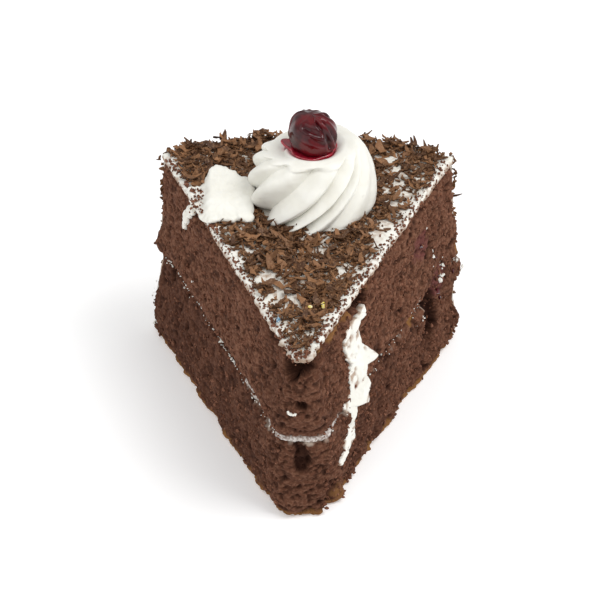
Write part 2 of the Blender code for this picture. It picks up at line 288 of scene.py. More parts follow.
class Shader:
    """A Principled material with short calls for its nodes."""

    def __init__(self, name, roughness, **sockets):
        self.material = bpy.data.materials.new(name)
        self.material.use_nodes = True
        self.nodes = self.material.node_tree.nodes
        self.links = self.material.node_tree.links
        self.main = self.nodes["Principled BSDF"]
        self.main.inputs["Roughness"].default_value = roughness
        for label, value in sockets.items():
            self.main.inputs[label.replace("_", " ")].default_value = value
        self.place = self.nodes.new("ShaderNodeTexCoord").outputs["Object"]

    def put(self, value, socket):
        """Link a node's output to a socket, or set the socket's own value."""
        if isinstance(value, bpy.types.NodeSocket):
            self.links.new(value, socket)
        elif isinstance(value, tuple) and len(value) == 3:
            socket.default_value = (*value, 1.0)
        else:
            socket.default_value = value

    def attribute(self, name):
        """The numbers that piece() gave the mesh's points."""
        node = self.nodes.new("ShaderNodeAttribute")
        node.attribute_name = name
        return node.outputs["Fac"]

    def noise(self, size, detail=3.0, stretch=(1.0, 1.0, 1.0)):
        """Noise with features of this many millimetres."""
        mapping = self.nodes.new("ShaderNodeMapping")
        mapping.inputs["Scale"].default_value = stretch
        self.links.new(self.place, mapping.inputs["Vector"])
        node = self.nodes.new("ShaderNodeTexNoise")
        node.inputs["Scale"].default_value = 1.0 / (size * MM)
        node.inputs["Detail"].default_value = detail
        self.links.new(mapping.outputs["Vector"], node.inputs["Vector"])
        return node.outputs["Fac"]

    def between(self, value, low, high, to_low=0.0, to_high=1.0):
        """A value taken smoothly from one range to another, and kept inside it."""
        node = self.nodes.new("ShaderNodeMapRange")
        node.interpolation_type = "SMOOTHSTEP"
        self.put(value, node.inputs["Value"])
        for label, number in (("From Min", low), ("From Max", high), ("To Min", to_low), ("To Max", to_high)):
            node.inputs[label].default_value = number
        return node.outputs["Result"]

    def times(self, a, b):
        node = self.nodes.new("ShaderNodeMath")
        node.operation = "MULTIPLY"
        self.put(a, node.inputs[0])
        self.put(b, node.inputs[1])
        return node.outputs["Value"]

    def mix(self, part, a, b):
        """From colour a to colour b as part goes from 0 to 1."""
        node = self.nodes.new("ShaderNodeMix")
        node.data_type = "RGBA"
        sockets = {socket.identifier: socket for socket in node.inputs}
        self.put(part, sockets["Factor_Float"])
        self.put(a, sockets["A_Color"])
        self.put(b, sockets["B_Color"])
        return next(socket for socket in node.outputs if socket.identifier == "Result_Color")

    def layers(self, base, colours):
        """The base with each attribute's colour laid over it where the attribute is 1."""
        for name, colour in colours.items():
            base = self.mix(self.attribute(name), base, colour)
        return base

    def colour(self, value):
        self.put(value, self.main.inputs["Base Color"])

    def rough(self, value):
        self.put(value, self.main.inputs["Roughness"])

    def bump(self, height, distance, strength=1.0):
        """Relief of this many millimetres."""
        node = self.nodes.new("ShaderNodeBump")
        node.inputs["Strength"].default_value = strength
        node.inputs["Distance"].default_value = distance * MM
        self.put(height, node.inputs["Height"])
        self.links.new(node.outputs["Normal"], self.main.inputs["Normal"])


def sponge_look():
    """Dark cocoa crumb, lighter on its knobs; painted shade takes it almost to black in its hollows and torn
    holes.
    """
    look = Shader("cocoa_crumb", 0.95, Specular_IOR_Level=0.1)
    patches = look.between(look.noise(7.0, 2.0), 0.35, 0.65)
    grain = look.between(look.noise(0.9, 3.0, CRUMB_STRETCH), 0.42, 0.66)
    speck = look.between(look.noise(1.3, 3.0, CRUMB_STRETCH), 0.50, 0.68)
    base = look.mix(patches, (0.118, 0.048, 0.028), (0.146, 0.062, 0.037))
    base = look.mix(look.times(grain, 0.6), base, (0.260, 0.130, 0.080))
    base = look.mix(look.times(speck, 0.6), base, (0.045, 0.017, 0.010))
    look.colour(look.layers(base, {
        # Painted shade in part: the lower layer's darkening is partly its own colour and partly shade on its
        # less lit left side.
        "moist_and_shade": (0.040, 0.014, 0.009), "stain": (0.130, 0.036, 0.042), "cream": (0.480, 0.400, 0.330),
        # Painted shade: the crumb goes almost black in its gaps, pits and torn holes.
        "deep": (0.028, 0.010, 0.006), "crust": (0.250, 0.120, 0.042),
    }))
    look.bump(look.noise(0.5, 3.0), 0.2, 0.7)
    return look.material


def cream_look():
    """Whipped cream, faintly warm in its hollows, with a satin surface."""
    look = Shader(
        "whipped_cream", 0.45, Subsurface_Weight=0.15, Subsurface_Scale=0.0010,
        Subsurface_Radius=(1.0, 0.95, 0.85), Specular_IOR_Level=0.25,
    )
    tone = look.between(look.noise(6.0, 2.0), 0.3, 0.7)
    base = look.mix(tone, (0.790, 0.775, 0.705), (0.835, 0.825, 0.765))
    # The brown mark is crumb smear and dust, and on the coat's side band under its rim also painted shade.
    look.colour(look.layers(base, {
        "dirt": (0.300, 0.165, 0.085), "pink": (0.70, 0.36, 0.38), "syrup": (0.16, 0.004, 0.010),
    }))
    look.rough(look.between(look.attribute("syrup"), 0.2, 0.8, 0.45, 0.1))
    look.bump(look.noise(1.1, 3.0), 0.06, 0.5)
    return look.material


def filling_look():
    """Cream between the layers, dragged brown by the knife away from the tip."""
    look = Shader("filling_cream", 0.6)
    streak = look.between(look.noise(0.7, 3.0), 0.38, 0.6)
    base = look.mix(look.times(streak, 0.7), (0.60, 0.56, 0.52), (0.16, 0.085, 0.060))
    look.colour(look.mix(look.attribute("dirt"), base, (0.075, 0.030, 0.018)))
    look.bump(look.noise(0.7, 3.0), 0.15, 0.7)
    return look.material


def shaving_look():
    """Dull dark chocolate whose flakes differ in tone, with pale scraped streaks."""
    look = Shader("chocolate_shavings", 0.55, Specular_IOR_Level=0.2)
    tone = look.attribute("tone")
    base = look.mix(tone, (0.065, 0.027, 0.012), (0.290, 0.140, 0.064))
    scrape = look.between(look.noise(0.6, 3.0), 0.48, 0.72)
    base = look.mix(look.times(scrape, 0.45), base, (0.40, 0.240, 0.130))
    look.colour(base)
    look.rough(look.between(look.noise(0.8, 2.0), 0.3, 0.7, 0.42, 0.65))
    look.bump(look.noise(0.4, 3.0), 0.06, 0.7)
    return look.material


def crumb_look():
    """Loose crumbs, a little lighter than the cuts."""
    look = Shader("loose_crumb", 0.95, Specular_IOR_Level=0.1)
    base = look.mix(look.attribute("tone"), (0.130, 0.052, 0.030), (0.250, 0.115, 0.072))
    look.colour(look.mix(look.between(look.noise(0.5, 3.0), 0.45, 0.7), base, (0.07, 0.026, 0.014)))
    look.bump(look.noise(0.3, 3.0), 0.1, 0.8)
    return look.material


def cherry_look():
    """Cooked cherry skin under wet syrup, with painted shade that takes it nearly to black in its creases."""
    look = Shader("cherry_skin", 0.3, Specular_IOR_Level=0.05, Coat_Weight=0.6, Coat_Roughness=0.03)
    tone = look.between(look.noise(4.5, 3.0), 0.35, 0.65)
    base = look.mix(tone, (0.034, 0.001, 0.003), (0.110, 0.003, 0.006))
    # Painted shade: the skin goes nearly black in its creases.
    look.colour(look.mix(look.attribute("fold"), base, (0.018, 0.001, 0.002)))
    look.bump(look.noise(1.4, 3.0), 0.06, 0.4)
    return look.material


def syrup_look():
    """Clear red syrup, here a glossy skin."""
    look = Shader("cherry_syrup", 0.1, Coat_Weight=0.6, Coat_Roughness=0.04)
    tone = look.between(look.noise(2.0, 2.0), 0.3, 0.7)
    look.colour(look.mix(tone, (0.20, 0.004, 0.012), (0.42, 0.014, 0.035)))
    look.bump(look.noise(1.5, 2.0), 0.05, 0.4)
    return look.material


def sugar_look(name, colour):
    """A coloured sugar sprinkle with paler grains."""
    look = Shader(name, 0.3, Specular_IOR_Level=0.5)
    tone = look.between(look.noise(0.6, 2.0), 0.35, 0.7)
    look.colour(look.mix(tone, colour, tuple(0.5 + 0.5 * c for c in colour)))
    look.bump(look.noise(0.4, 2.0), 0.05, 0.5)
    return look.material


# ---------------- sponge

FINE = 0.31  # millimetres between points on the cut faces
SPONGE_COUNTS = (350, 22, 74)  # points along each cut, the round side and the tip
MIDDLE = 0  # the tip, in the tables of forms
CRUMB_STRETCH = (1.0, 0.7, 1.25)  # the crumb is drawn out along the cuts and pressed flat

# Lumps and hollows: (side, along, height, reach along, reach up, how far it stands out).
# On the tip, along is measured across to the right.
FORMS = (
    (LEFT, 45, 31, 60, 3.5, -1.4),
    (LEFT, 96, 36, 14, 4, 0.9),
    (LEFT, 112, 34, 6, 4, 2.0),
    (LEFT, 60, 12, 22, 9, 0.7),
    (LEFT, 108, 6, 14, 8, 1.2),
    (RIGHT, 108, 42, 12, 8, 1.0),
    (RIGHT, 98, 4, 14, 6, 1.2),
    (RIGHT, 82, 27, 3.0, 3.0, 1.0),
    (RIGHT, 111, 27, 6, 5, 2.2),
    (RIGHT, 108, 15, 6, 3.5, -2.2),
    (RIGHT, 109, 8, 5, 3.5, 1.6),
    (RIGHT, 70, 37, 14, 5, 1.3),
    (RIGHT, 55, 9, 12, 5, 1.2),
    (RIGHT, 44, 52, 9, 6, -0.9),
    (RIGHT, 28, 20, 5, 6, -1.5),
    (RIGHT, 20, 3, 3.0, 3.5, 2.6),
    (RIGHT, 15.5, 4, 1.6, 4.0, -2.4),
    (MIDDLE, -2.6, 3, 2.5, 4.0, 1.2),
    (MIDDLE, 0, 46, 3.0, 3.0, -1.6),
    (MIDDLE, 5, 50, 3.0, 4.0, 0.6),
)

# Torn holes with sharp rims, in the same terms: their depth is the last number, and it also darkens them as
# painted shade.
HOLES = (
    (LEFT, 101.5, 27.5, 1.3, 4.0, 2.6),
    (LEFT, 88, 28.0, 1.6, 1.4, 1.8),
    (LEFT, 18.5, 61.0, 2.0, 2.8, 3.0),
    (RIGHT, 87.0, 27.0, 4.8, 5.8, 7.0),
    (RIGHT, 91.5, 18.0, 5.0, 9.0, 3.2),
    (RIGHT, 41, 60.0, 5.0, 3.4, 2.6),
    (RIGHT, 34, 60.5, 3.0, 2.0, 2.0),
    (MIDDLE, -0.6, 58.4, 4.8, 5.0, 7.5),
    (MIDDLE, 0.8, 45.0, 2.4, 1.8, 1.8),
    (MIDDLE, 0.3, 22.5, 3.4, 5.5, 2.2),
)


def form_reach(points, side, along, height, wide, tall):
    """How far points are from a form's middle, as a share of its reach."""
    if side == MIDDLE:
        middle = np.array([along, column(TIP_BACK, 1, height), height])
    else:
        middle = on_cut(side, along, height)
    flat = np.linalg.norm(points[..., :2] - middle[:2], axis=-1) / wide
    return np.hypot(flat, (points[..., 2] - height) / tall)


def formed(points):
    """(how far the broad lumps and torn holes move these points out, how deep in a hole they are)."""
    total = np.zeros(points.shape[:-1])
    for *form, amount in FORMS:
        total += amount * bell(form_reach(points, *form), 0.0, 1.0)
    ragged = 0.28 * noise(points, 2.4, 51) + 0.15 * noise(points, 1.0, 52)
    hole = np.zeros(points.shape[:-1])
    for *form, depth in HOLES:
        inside = falling(0.72, 1.0, form_reach(points, *form) + ragged)
        hole = np.maximum(hole, depth * inside)
    return total - hole, hole


def crumb_relief(points, rough):
    """(how far the crumb stands out, how deep in its gaps each point is, from 0 to 1, for painted shade)."""
    drawn = points * CRUMB_STRETCH
    bubbles = 0.6 * noise(drawn, 1.35, 13) + 0.42 * noise(drawn, 0.75, 14) + 0.2 * noise(drawn, 3.0, 12)
    gap = smooth_step(0.0, 0.42, bubbles)
    knob = smooth_step(0.0, 0.5, -bubbles)
    clump, _ = cells(points + 0.8 * noise(points, 2.5, 15)[..., None], 3.8, 18)
    broad = 0.45 * noise(points, 8.0, 11) + 0.45 * noise(points, 4.5, 20) - 0.8 * rough * (clump - 0.5)
    away, number = cells(points * (1.0, 0.7, 1.1), 3.4, 21)
    width = 0.18 + 0.22 * number
    pit = (number > 0.6) * falling(0.35 * width, width, away)
    relief = broad + 0.28 * knob - 0.6 * gap + 0.15 * noise(points, 0.7, 19)
    # Depth in the gaps, pits and clump borders, which the look darkens as painted shade.
    deep = 0.6 * gap + 0.35 * smooth_step(0.5, 0.9, clump) * rough + 0.8 * pit
    return 0.75 + (0.4 + 0.6 * rough) * relief - 0.8 * pit, np.clip(deep, 0, 1)


def roughness_at(points):
    """The right cut, the tip and the foot tore more than the left cut."""
    right = smooth_step(-6.0, 8.0, points[..., 0])
    tip = falling(14.0, 30.0, points[..., 1])
    foot = falling(2.0, 12.0, points[..., 2])
    return 0.6 + 0.6 * np.maximum(right, 0.6 * tip) + 0.35 * foot


def close_seam(moved, grid, lower):
    """Away from the tip the two layers' edges close over the filling."""
    seam = LOWER_TOP if lower else UPPER_LOW
    reach = np.exp(-np.abs(grid[..., 2] - seam) / 2.5)
    open_to = np.where(grid[..., 0] < 0, 24.0, 12.0)
    shut = 0.45 + 0.4 * smooth_step(0.0, 16.0, grid[..., 1] - open_to) + 0.2 * noise(grid, 3.0, 41)
    moved[..., 2] += reach * shut * (1.0 if lower else -1.0)
    moved[..., 2] = np.maximum(moved[..., 2], 0.0)


def crumb_crust(grid, high, lower):
    """Where the crumb is golden: at the base, under the coat near the tip, and in a few patches."""
    across = noise(grid, 2.6, 42)
    if lower:
        crust = falling(1.2, 2.8, grid[..., 2] + 0.9 * across) * 0.85
        crust = np.maximum(crust, 0.55 * blotch(grid, RIGHT, 20, 2.5, 3.0, 4.0))
    else:
        near = (grid[..., 0] > 3) * falling(34.0, 46.0, grid[..., 1])
        crust = smooth_step(high - 2.0, high - 0.8, grid[..., 2] + 1.6 * across) * 0.8 * near
        crust = np.maximum(crust, 0.8 * blotch(grid, RIGHT, 112, 34, 2.5, 3.0))
    crust = np.maximum(crust, blotch(grid, RIGHT, 74.8, 29.5, 2.0, 2.6))
    return np.clip(crust, 0, 1)


def moisture_and_shade(grid):
    """The lower layer is darker: partly its own colour, partly painted shade where its left side gets less
    light, so the right cut's far end is left lighter; near the tip every height takes the same slight
    darkening.
    """
    kept_light = smooth_step(26.0, 34.0, grid[..., 2]) + 0.6 * smooth_step(20.0, 34.0, grid[..., 0])
    moist_and_shade = (0.46 + 0.15 * noise(grid, 9.0, 43)) * (1.0 - np.clip(kept_light, 0, 1))
    tip = falling(14.0, 28.0, grid[..., 1])
    return moist_and_shade + tip * (0.25 - moist_and_shade)


def sponge_layer(name, low, high, look, node):
    """A layer of sponge whose cuts have the crumb's relief."""
    rows = int((high - low) / FINE) + 1
    heights = np.linspace(low, high, rows)
    grid = np.stack([section(h, SPONGE_RADIUS, 0.0, SPONGE_COUNTS) for h in heights])
    outward = normals_of(grid)
    outward[..., 2] *= 0.3
    relief, deep = crumb_relief(grid, roughness_at(grid))
    shape, hole = formed(grid)
    edge = np.minimum(grid[..., 2] - low, high - grid[..., 2])
    relief += shape - 0.9 * falling(0.0, 1.3, edge) ** 2
    radius = np.linalg.norm(grid[..., :2], axis=-1)
    back = smooth_step(SPONGE_RADIUS - 1.2, SPONGE_RADIUS - 0.2, radius)
    moved = grid + outward * (relief * (1.0 - back))[..., None]
    lower = low < LOWER_TOP
    close_seam(moved, grid, lower)
    values = {
        # Painted shade in the crumb's gaps and pits, and in the torn holes.
        "deep": np.clip(deep + hole / 2.5, 0, 1),
        "crust": crumb_crust(grid, high, lower),
        "stain": 0.55 * blotch(grid, RIGHT, 86, 49, 6, 6) + 0.55 * blotch(grid, RIGHT, 97, 30, 7, 6),
        "cream": np.maximum(cream_marks(grid), 0.8 * blotch(grid, RIGHT, 81.5, 31.0, 0.9, 4.0)),
        # Darker lower layer: partly its own colour, partly painted shade.
        "moist_and_shade": moisture_and_shade(grid),
    }
    piece(name, moved, look, values, (node,))


def blotch(points, side, along, height, wide, tall):
    """A ragged patch on a cut face, from 0 to 1."""
    spread = form_reach(points, side, along, height, wide, tall) + 0.45 * noise(points, 2.2, 51)
    return falling(0.6, 1.1, spread)


def cream_marks(points):
    """Where a film of cream is wiped on the crumb: close to the filling and round the tip."""
    seam = np.abs(points[..., 2] - (LOWER_TOP + UPPER_LOW) / 2)
    ragged = noise(points, 1.6, 61)
    tip = falling(14.0, 42.0, points[..., 1])
    near = falling(0.4, 1.8 + 0.6 * tip, seam + 0.8 * ragged)
    broken = smooth_step(0.0, 0.5, noise(points, 2.2, 62) + 0.7 * tip - 0.1)
    return (0.5 + 0.35 * tip) * near * broken


# ---------------- cream


def filling(look):
    """The filling's edge: clean and white at the tip, dragged in and brown along the cuts."""
    counts = (300, 22, 90)
    heights = np.linspace(29.0, 31.4, 9)
    grid = np.stack([section(h, SPONGE_RADIUS, 0.0, counts) for h in heights])
    clean = falling(28.0, 50.0, grid[..., 1] + 16.0 * (grid[..., 0] > 0))
    clean = np.clip(clean + 0.45 * noise(grid, 4.0, 71), 0, 1)
    swell = 1.0 - ((heights - heights.mean()) / (heights[-1] - heights.mean())) ** 2
    out = 0.7 * swell[:, None] - 1.5 + 1.3 * clean + 0.4 * noise(grid, 2.2, 72) + 0.3 * noise(grid, 0.9, 74)
    shape, _ = formed(grid)
    moved = grid + normals_of(grid) * (out + shape)[..., None]
    moved[..., 2] += 0.25 * noise(grid, 1.8, 75)
    keep = np.linalg.norm(moved[..., :2], axis=-1, keepdims=True)
    moved[..., :2] *= np.minimum(1.0, (SPONGE_RADIUS - 0.1) / keep)
    dirt = smooth_step(0.35, 0.75, 1.0 - clean + 0.35 * noise(grid, 1.1, 73))
    piece("cream_filling_edge", moved, look, {"dirt": dirt}, ("cream_filling",))


COAT_COUNTS = (260, 120, 16)  # points along each cut, the round side and the tip
# The coat's rim from below, as (height, how far it stands out).
COAT_RIM = (
    (CREAM_LOW, -0.5), (CREAM_LOW + 0.25, -0.05), (CREAM_LOW + 0.7, 0.1), (63.2, 0.2), (63.8, 0.2),
    (64.3, 0.1), (64.7, -0.15), (64.92, -0.5), (CAKE_HEIGHT, -1.0),
)


def coat_top():
    """Rows of points up the rim of the cream on the top, and then inward to its middle."""
    rings = [section(h, CAKE_RADIUS + min(0.0, out), out, COAT_COUNTS) for h, out in COAT_RIM]
    top = rings[-1]
    middle = np.array([1.5, 72.0, CAKE_HEIGHT])
    for inward in np.linspace(0.0, 0.985, 44)[1:]:
        rings.append(top + (middle - top) * (inward, inward, 0))
    grid = np.stack(rings)
    rim = len(COAT_RIM)
    side = grid[:rim]
    torn = 0.35 + 0.65 * falling(8.0, 22.0, side[..., 1])
    wobble = 0.30 * noise(side, 5.0, 81) + torn * (noise(side, 1.5, 82) + 0.6 * noise(side, 0.8, 90))
    fade = np.minimum(1.0, np.arange(rim) / 2.0)[:, None]
    grid[:rim] += normals_of(grid[:rim]) * (wobble * fade)[..., None] * (1, 1, 0)
    near_tip = falling(7.0, 13.0, grid[..., 1])
    wave = 0.28 * noise(grid, 7.0, 83) + 0.14 * noise(grid, 2.2, 84) - 0.1
    wave += near_tip * (0.7 * noise(grid, 1.6, 95) - 0.5)
    lift = smooth_step(64.2, CAKE_HEIGHT, grid[..., 2])
    sag = -0.5 * np.clip(noise(grid, 9.0, 85), 0, 1) * falling(CREAM_LOW, 63.0, grid[..., 2])
    grid[..., 2] += wave * lift + sag
    return grid


def coat_wall():
    """Rows of points up the cream on the round side: along its outside, back along its inside."""
    steps = COAT_COUNTS[1]
    rows = []
    for h in (0.0, *np.linspace(0.6, CREAM_LOW + 0.4, 64)):
        right, left = (on_cut(side, far_end(side, h), h, 0.2) for side in (RIGHT, LEFT))
        outside = arc(CAKE_RADIUS, right, left, steps, h)
        rows.append(np.concatenate([outside, arc(CAKE_RADIUS - WALL_THICK, left, right, steps, h)]))
    wall = np.stack(rows)
    outer = np.linalg.norm(wall[..., :2], axis=-1) > CAKE_RADIUS - WALL_THICK / 2
    relief = 0.3 * noise(wall, 8.0, 86) + 0.15 * noise(wall, 2.5, 87) - 0.45
    return wall + normals_of(wall) * (relief * outer)[..., None] * (1, 1, 0)


def coat_dirt_and_shade(points, on_wall):
    """Where the cream is brown: under its rim, as crumb smear and as painted shade on the side band that gets
    less light, at the tip, on the wall's ends, and in a fine dust.
    """
    # Under the rim: crumb smear and painted shade on the less lit side band.
    low_edge_smear_and_shade = points[:, 2] + 1.1 * noise(points, 1.2, 88)
    low_edge_smear_and_shade = falling(CREAM_LOW + 1.2, CREAM_LOW + 2.8, low_edge_smear_and_shade)
    tip = 0.55 * falling(4.0, 8.0, points[:, 1] + 2.0 * noise(points, 2.5, 96))
    low_edge_smear_and_shade = np.maximum(low_edge_smear_and_shade, tip * smooth_step(0.0, 0.4, noise(points, 1.1, 79))) * ~on_wall
    ends = on_wall_end(points) * on_wall
    from_cut = np.minimum(*(inside_cut(side, points[:, 0], points[:, 1]) for side in (LEFT, RIGHT)))
    dust = 0.06 + 0.42 * smooth_step(-0.2, 0.6, noise(points, 0.9, 78))
    return np.clip(0.8 * low_edge_smear_and_shade + 0.9 * ends + smooth_step(1.0, 4.0, from_cut) * dust, 0, 1)


def coat(look):
    """The cream on the top, with soft uneven edges, and down the round side."""
    top, wall = coat_top(), coat_wall()
    count = top.shape[0] * top.shape[1]
    faces = loft_faces(len(top), top.shape[1]) + loft_faces(len(wall), wall.shape[1], first=count)
    points = np.concatenate([top.reshape(-1, 3), wall.reshape(-1, 3)])
    dirt = coat_dirt_and_shade(points, np.arange(len(points)) >= count)
    piece("cream_coat_soft", points, look, {"dirt": dirt}, ("cream_coat",), faces)


def on_wall_end(points):
    """1 on the wall's cut ends, which the knife dragged brown, but for a few clean spots."""
    turn = np.arctan2(points[:, 0], points[:, 1])
    left = falling(0.0, 0.03, turn + CUT_ANGLE[LEFT])
    right = falling(0.0, 0.03, CUT_ANGLE[RIGHT] - turn)
    return np.maximum(left, right) * smooth_step(-0.5, 0.1, noise(points, 3.0, 89))


# The swirl's ridges, counter-clockwise, as (the foot's angle, how far it turns to the top, depth
# of the valley after it), with angles in degrees.
SWIRL_RIDGES = (
    (-171, 62, 4.8), (-130, 92, 3.8), (-112, 112, 4.2), (-93, 108, 2.0), (-62, 92, 0.5), (-20, 80, 0.3),
    (30, 70, 0.3), (80, 62, 1.0), (115, 56, 2.8), (138, 54, 3.6), (163, 56, 4.2),
)


def towards(turn, degrees, sharpness):
    """1 in one direction round the swirl, falling to near 0 in the opposite one."""
    return np.exp(sharpness * (np.cos(turn - math.radians(degrees)) - 1.0))


def swirl_points(line, rise):
    """Points on the swirl from its base to its collar's crest. line counts the ridges round it."""
    count = len(SWIRL_RIDGES)
    feet, twists, _ = zip(*SWIRL_RIDGES, (SWIRL_RIDGES[0][0] + 360, *SWIRL_RIDGES[0][1:]))
    foot = np.interp(line, range(count + 1), feet)
    twist = np.interp(line, range(count + 1), twists)
    turn = np.radians(foot + twist * rise)
    full = 0.5 + 0.5 * np.cos(turn - FULL_SIDE)
    bulge = towards(turn, 172.0, 3.0)
    front = towards(turn, -100.0, 1.6)
    behind = towards(turn, 122.0, 5.0)
    radius = SWIRL_RADIUS + SWIRL_LEAN * full + 0.4 * bulge
    radius = radius + 1.6 * front * (1.0 - rise) - 3.2 * behind
    height = SWIRL_HEIGHT + SWIRL_LEAN * full - 2.0 * bulge - 0.6 * behind
    roundness = 1.0 - 0.60 * front * (1.0 - bulge)
    low = math.radians(22.0) * roundness
    bend = (math.pi / 2 + low) * rise - low
    collar = COLLAR_RADIUS + COLLAR_LEAN * full
    bow = np.maximum(np.cos(bend), 0.0) ** (0.8 - 0.2 * bulge)
    bow_out = (1 - roundness) * (1 - rise) + roundness * bow
    bow_up = (1 - roundness) * rise + roundness * (np.sin(bend) + np.sin(low)) / (1 + np.sin(low))
    out = collar + (radius - collar) * bow_out
    out += bulge * (1.6 * rise * falling(0.65, 0.95, rise) - 1.8 * (1.0 - rise) ** 2)

    depth = np.interp(line, np.arange(count) + 0.5, [ridge[2] for ridge in SWIRL_RIDGES], period=count)
    flute = 1.0 - np.abs(np.cos(math.pi * line)) ** 1.25
    fade = (1.0 - 0.5 * rise) * falling(0.80, 0.95, rise)
    tuck = 0.5 * falling(0.0, 0.08, rise)
    step = 0.7 * smooth_step(0.78, 0.86, rise) * falling(0.9, 1.0, rise)
    out = out - depth * flute * fade - tuck + step
    return polar(out, turn, height * bow_up)


def swirl(look):
    """The piped swirl with its ridges, and syrup that has run round the cherry's foot."""
    steps, rows = 480, 100
    line = np.arange(steps) * len(SWIRL_RIDGES) / steps
    rises = np.concatenate([[0.0, 0.015], np.linspace(0.035, 1.0, rows)])
    grid = swirl_points(line[None, :], rises[:, None])
    crest = grid[-1]
    floor = SWIRL_HEIGHT - DISH_DEPTH
    edge = crest[:, :2] / np.linalg.norm(crest[:, :2], axis=-1, keepdims=True)
    dish = []
    for inward in (0.12, 0.3, 0.5, 0.7, 0.88, 1.0, 1.35, 1.7, 1.95):
        reach = min(inward, 1.0)
        target = np.column_stack([edge * DISH_RADIUS, np.full(steps, floor)])
        ring = crest + (target - crest) * reach
        ring[:, 2] += 0.9 * reach * (1 - reach)
        ring[:, :2] *= 1.0 - max(0.0, inward - 1.0)
        dish.append(ring)
    grid = np.concatenate([grid, np.stack(dish)])
    outward = normals_of(grid)
    relief = 0.20 * noise(grid, 5.0, 91) + 0.05 * noise(grid, 1.3, 92)
    pits, number = cells(grid, 3.4, 93)
    relief -= 0.25 * (number > 0.88) * falling(0.05, 0.13, pits)
    free = smooth_step(0.0, 1.0, grid[..., 2])
    grid = grid + outward * (relief * free)[..., None]
    grid[..., 2] = np.maximum(grid[..., 2], 0.0)

    turn = np.arctan2(grid[..., 1], grid[..., 0])
    reach = 7.4 + 0.5 * noise(grid, 3.0, 94) + 1.4 * bell(turn, 2.9, 0.35)
    past = np.linalg.norm(grid[..., :2] - (0.3, 0.0), axis=-1) - reach
    high = smooth_step(13.5, 15.5, grid[..., 2])
    syrup = high * falling(-0.25, 0.25, past)
    pink = high * falling(0.0, 0.9, past) * 0.6
    values = {"syrup": syrup, "pink": pink}
    piece("cream_swirl_piped", grid + SWIRL_PLACE, look, values, ("cream_swirl",))


# Creases in the cherry's skin, as (from turn, from rise, to turn, to rise, depth), in degrees.
CREASES = (
    (-112, 0.74, -70, 0.56, 0.6),
    (-92, 0.50, -66, 0.34, 0.5),
    (-62, 0.84, -46, 0.18, 0.9),
    (-34, 0.78, -20, 0.24, 0.8),
    (10, 0.76, 35, 0.30, 0.9),
    (80, 0.76, 70, 0.30, 0.8),
    (130, 0.74, 165, 0.40, 0.7),
)


def cherry_skin(grid, turn, rise):
    """(how far the cherry's skin stands out, how deep its creases are) at each point."""
    relief = 0.35 * noise(grid, 4.0, 103)
    crease = np.zeros(grid.shape[:2])
    wander = 0.07 * noise(grid, 3.5, 104)
    here = np.stack([(np.angle(np.exp(1j * turn)) + 0.0 * rise) * 0.8, rise * 1.6 + 0.0 * turn], axis=-1)
    for from_turn, from_rise, to_turn, to_rise, depth in CREASES:
        start = np.array([math.radians(from_turn) * 0.8, from_rise * 1.6])
        end = np.array([math.radians(to_turn) * 0.8, to_rise * 1.6])
        share = np.clip(((here - start) @ (end - start)) / ((end - start) @ (end - start)), 0, 1)
        away = np.linalg.norm(here - start - share[..., None] * (end - start), axis=-1) + wander
        crease = np.maximum(crease, depth * bell(away, 0.0, 0.085))
        relief += 0.35 * depth * bell(away, 0.2, 0.1)
    return relief, crease


def cherry(look):
    """The cherry: slumped, with a steep left flank and wet folds."""
    place = SWIRL_PLACE + (0.8, 0.4, SWIRL_HEIGHT - DISH_DEPTH + 0.3 + 0.4)
    steps, rows = 220, 110
    turn = full_turn(steps)[None, :]
    rise = np.linspace(0.0, 0.985, rows)[:, None]
    lean = -CHERRY_FOOT + (math.pi / 2 + CHERRY_FOOT) * rise
    fold = 1.0 - 0.04 * np.cos(3 * turn + 4 * rise) - 0.02 * np.cos(5 * turn - 6 * rise)
    out = CHERRY_RADIUS * fold * np.cos(lean) ** 0.6
    up = CHERRY_RADIUS * CHERRY_SQUASH * (np.sin(lean) + math.sin(CHERRY_FOOT))
    grid = polar(out, turn, up)
    relief, crease = cherry_skin(grid, turn, rise)
    free = smooth_step(0.0, 2.0, up)
    grid = grid + normals_of(grid) * ((relief - crease) * free)[..., None]
    grid[..., 0] -= 1.6 * (np.clip(up / 13.0, 0, 1)) ** 1.6
    # The creases' depth, which the look paints as shade.
    values = {"fold": np.clip(0.8 * crease, 0, 1)}
    piece("cherry_wet", grid + place, look, values, ("cherry",))


# The syrup film's section from its underside over its rim, as (share of its width, height).
SYRUP_SECTION = (
    (0.80, -0.25), (1.0, -0.2), (1.02, 0.15), (0.985, 0.5), (0.94, 0.72), (0.86, 0.78), (0.6, 0.6),
)


def syrup(look):
    """A film of syrup round the cherry's foot, thickest at the left, with a rounded rim."""
    steps = 160
    turn = full_turn(steps)
    middle = SWIRL_PLACE + (0.3, 0.2, SWIRL_HEIGHT - DISH_DEPTH)
    wide = 7.1 + 0.2 * np.sin(3 * turn + 0.5) + 0.2 * np.sin(7 * turn)
    wide += 2.3 * bell(turn, 2.95, 0.26) + 0.3 * bell(turn, 4.3, 0.5)
    rings = []
    for part, lift in SYRUP_SECTION:
        out = 4.5 + (wide - 4.5) * part
        slope = 0.45 * np.maximum(0.0, out - 7.0)
        rings.append(polar(out, turn, lift + slope))
    piece("cherry_syrup_pool", np.stack(rings) + middle, look)


def closed_curve(corners, steps):
    """A smooth closed curve through corners, by Catmull-Rom."""
    p = np.array(corners, float)
    a, b, c, d = (np.roll(p, shift, axis=0)[:, None, :] for shift in (1, 0, -1, -2))
    t = np.linspace(0, 1, steps, endpoint=False)[None, :, None]
    curve = 0.5 * (2 * b + (c - a) * t + (2 * a - 5 * b + 4 * c - d) * t**2 + (3 * b - a - 3 * c + d) * t**3)
    return curve.reshape(-1, 2)


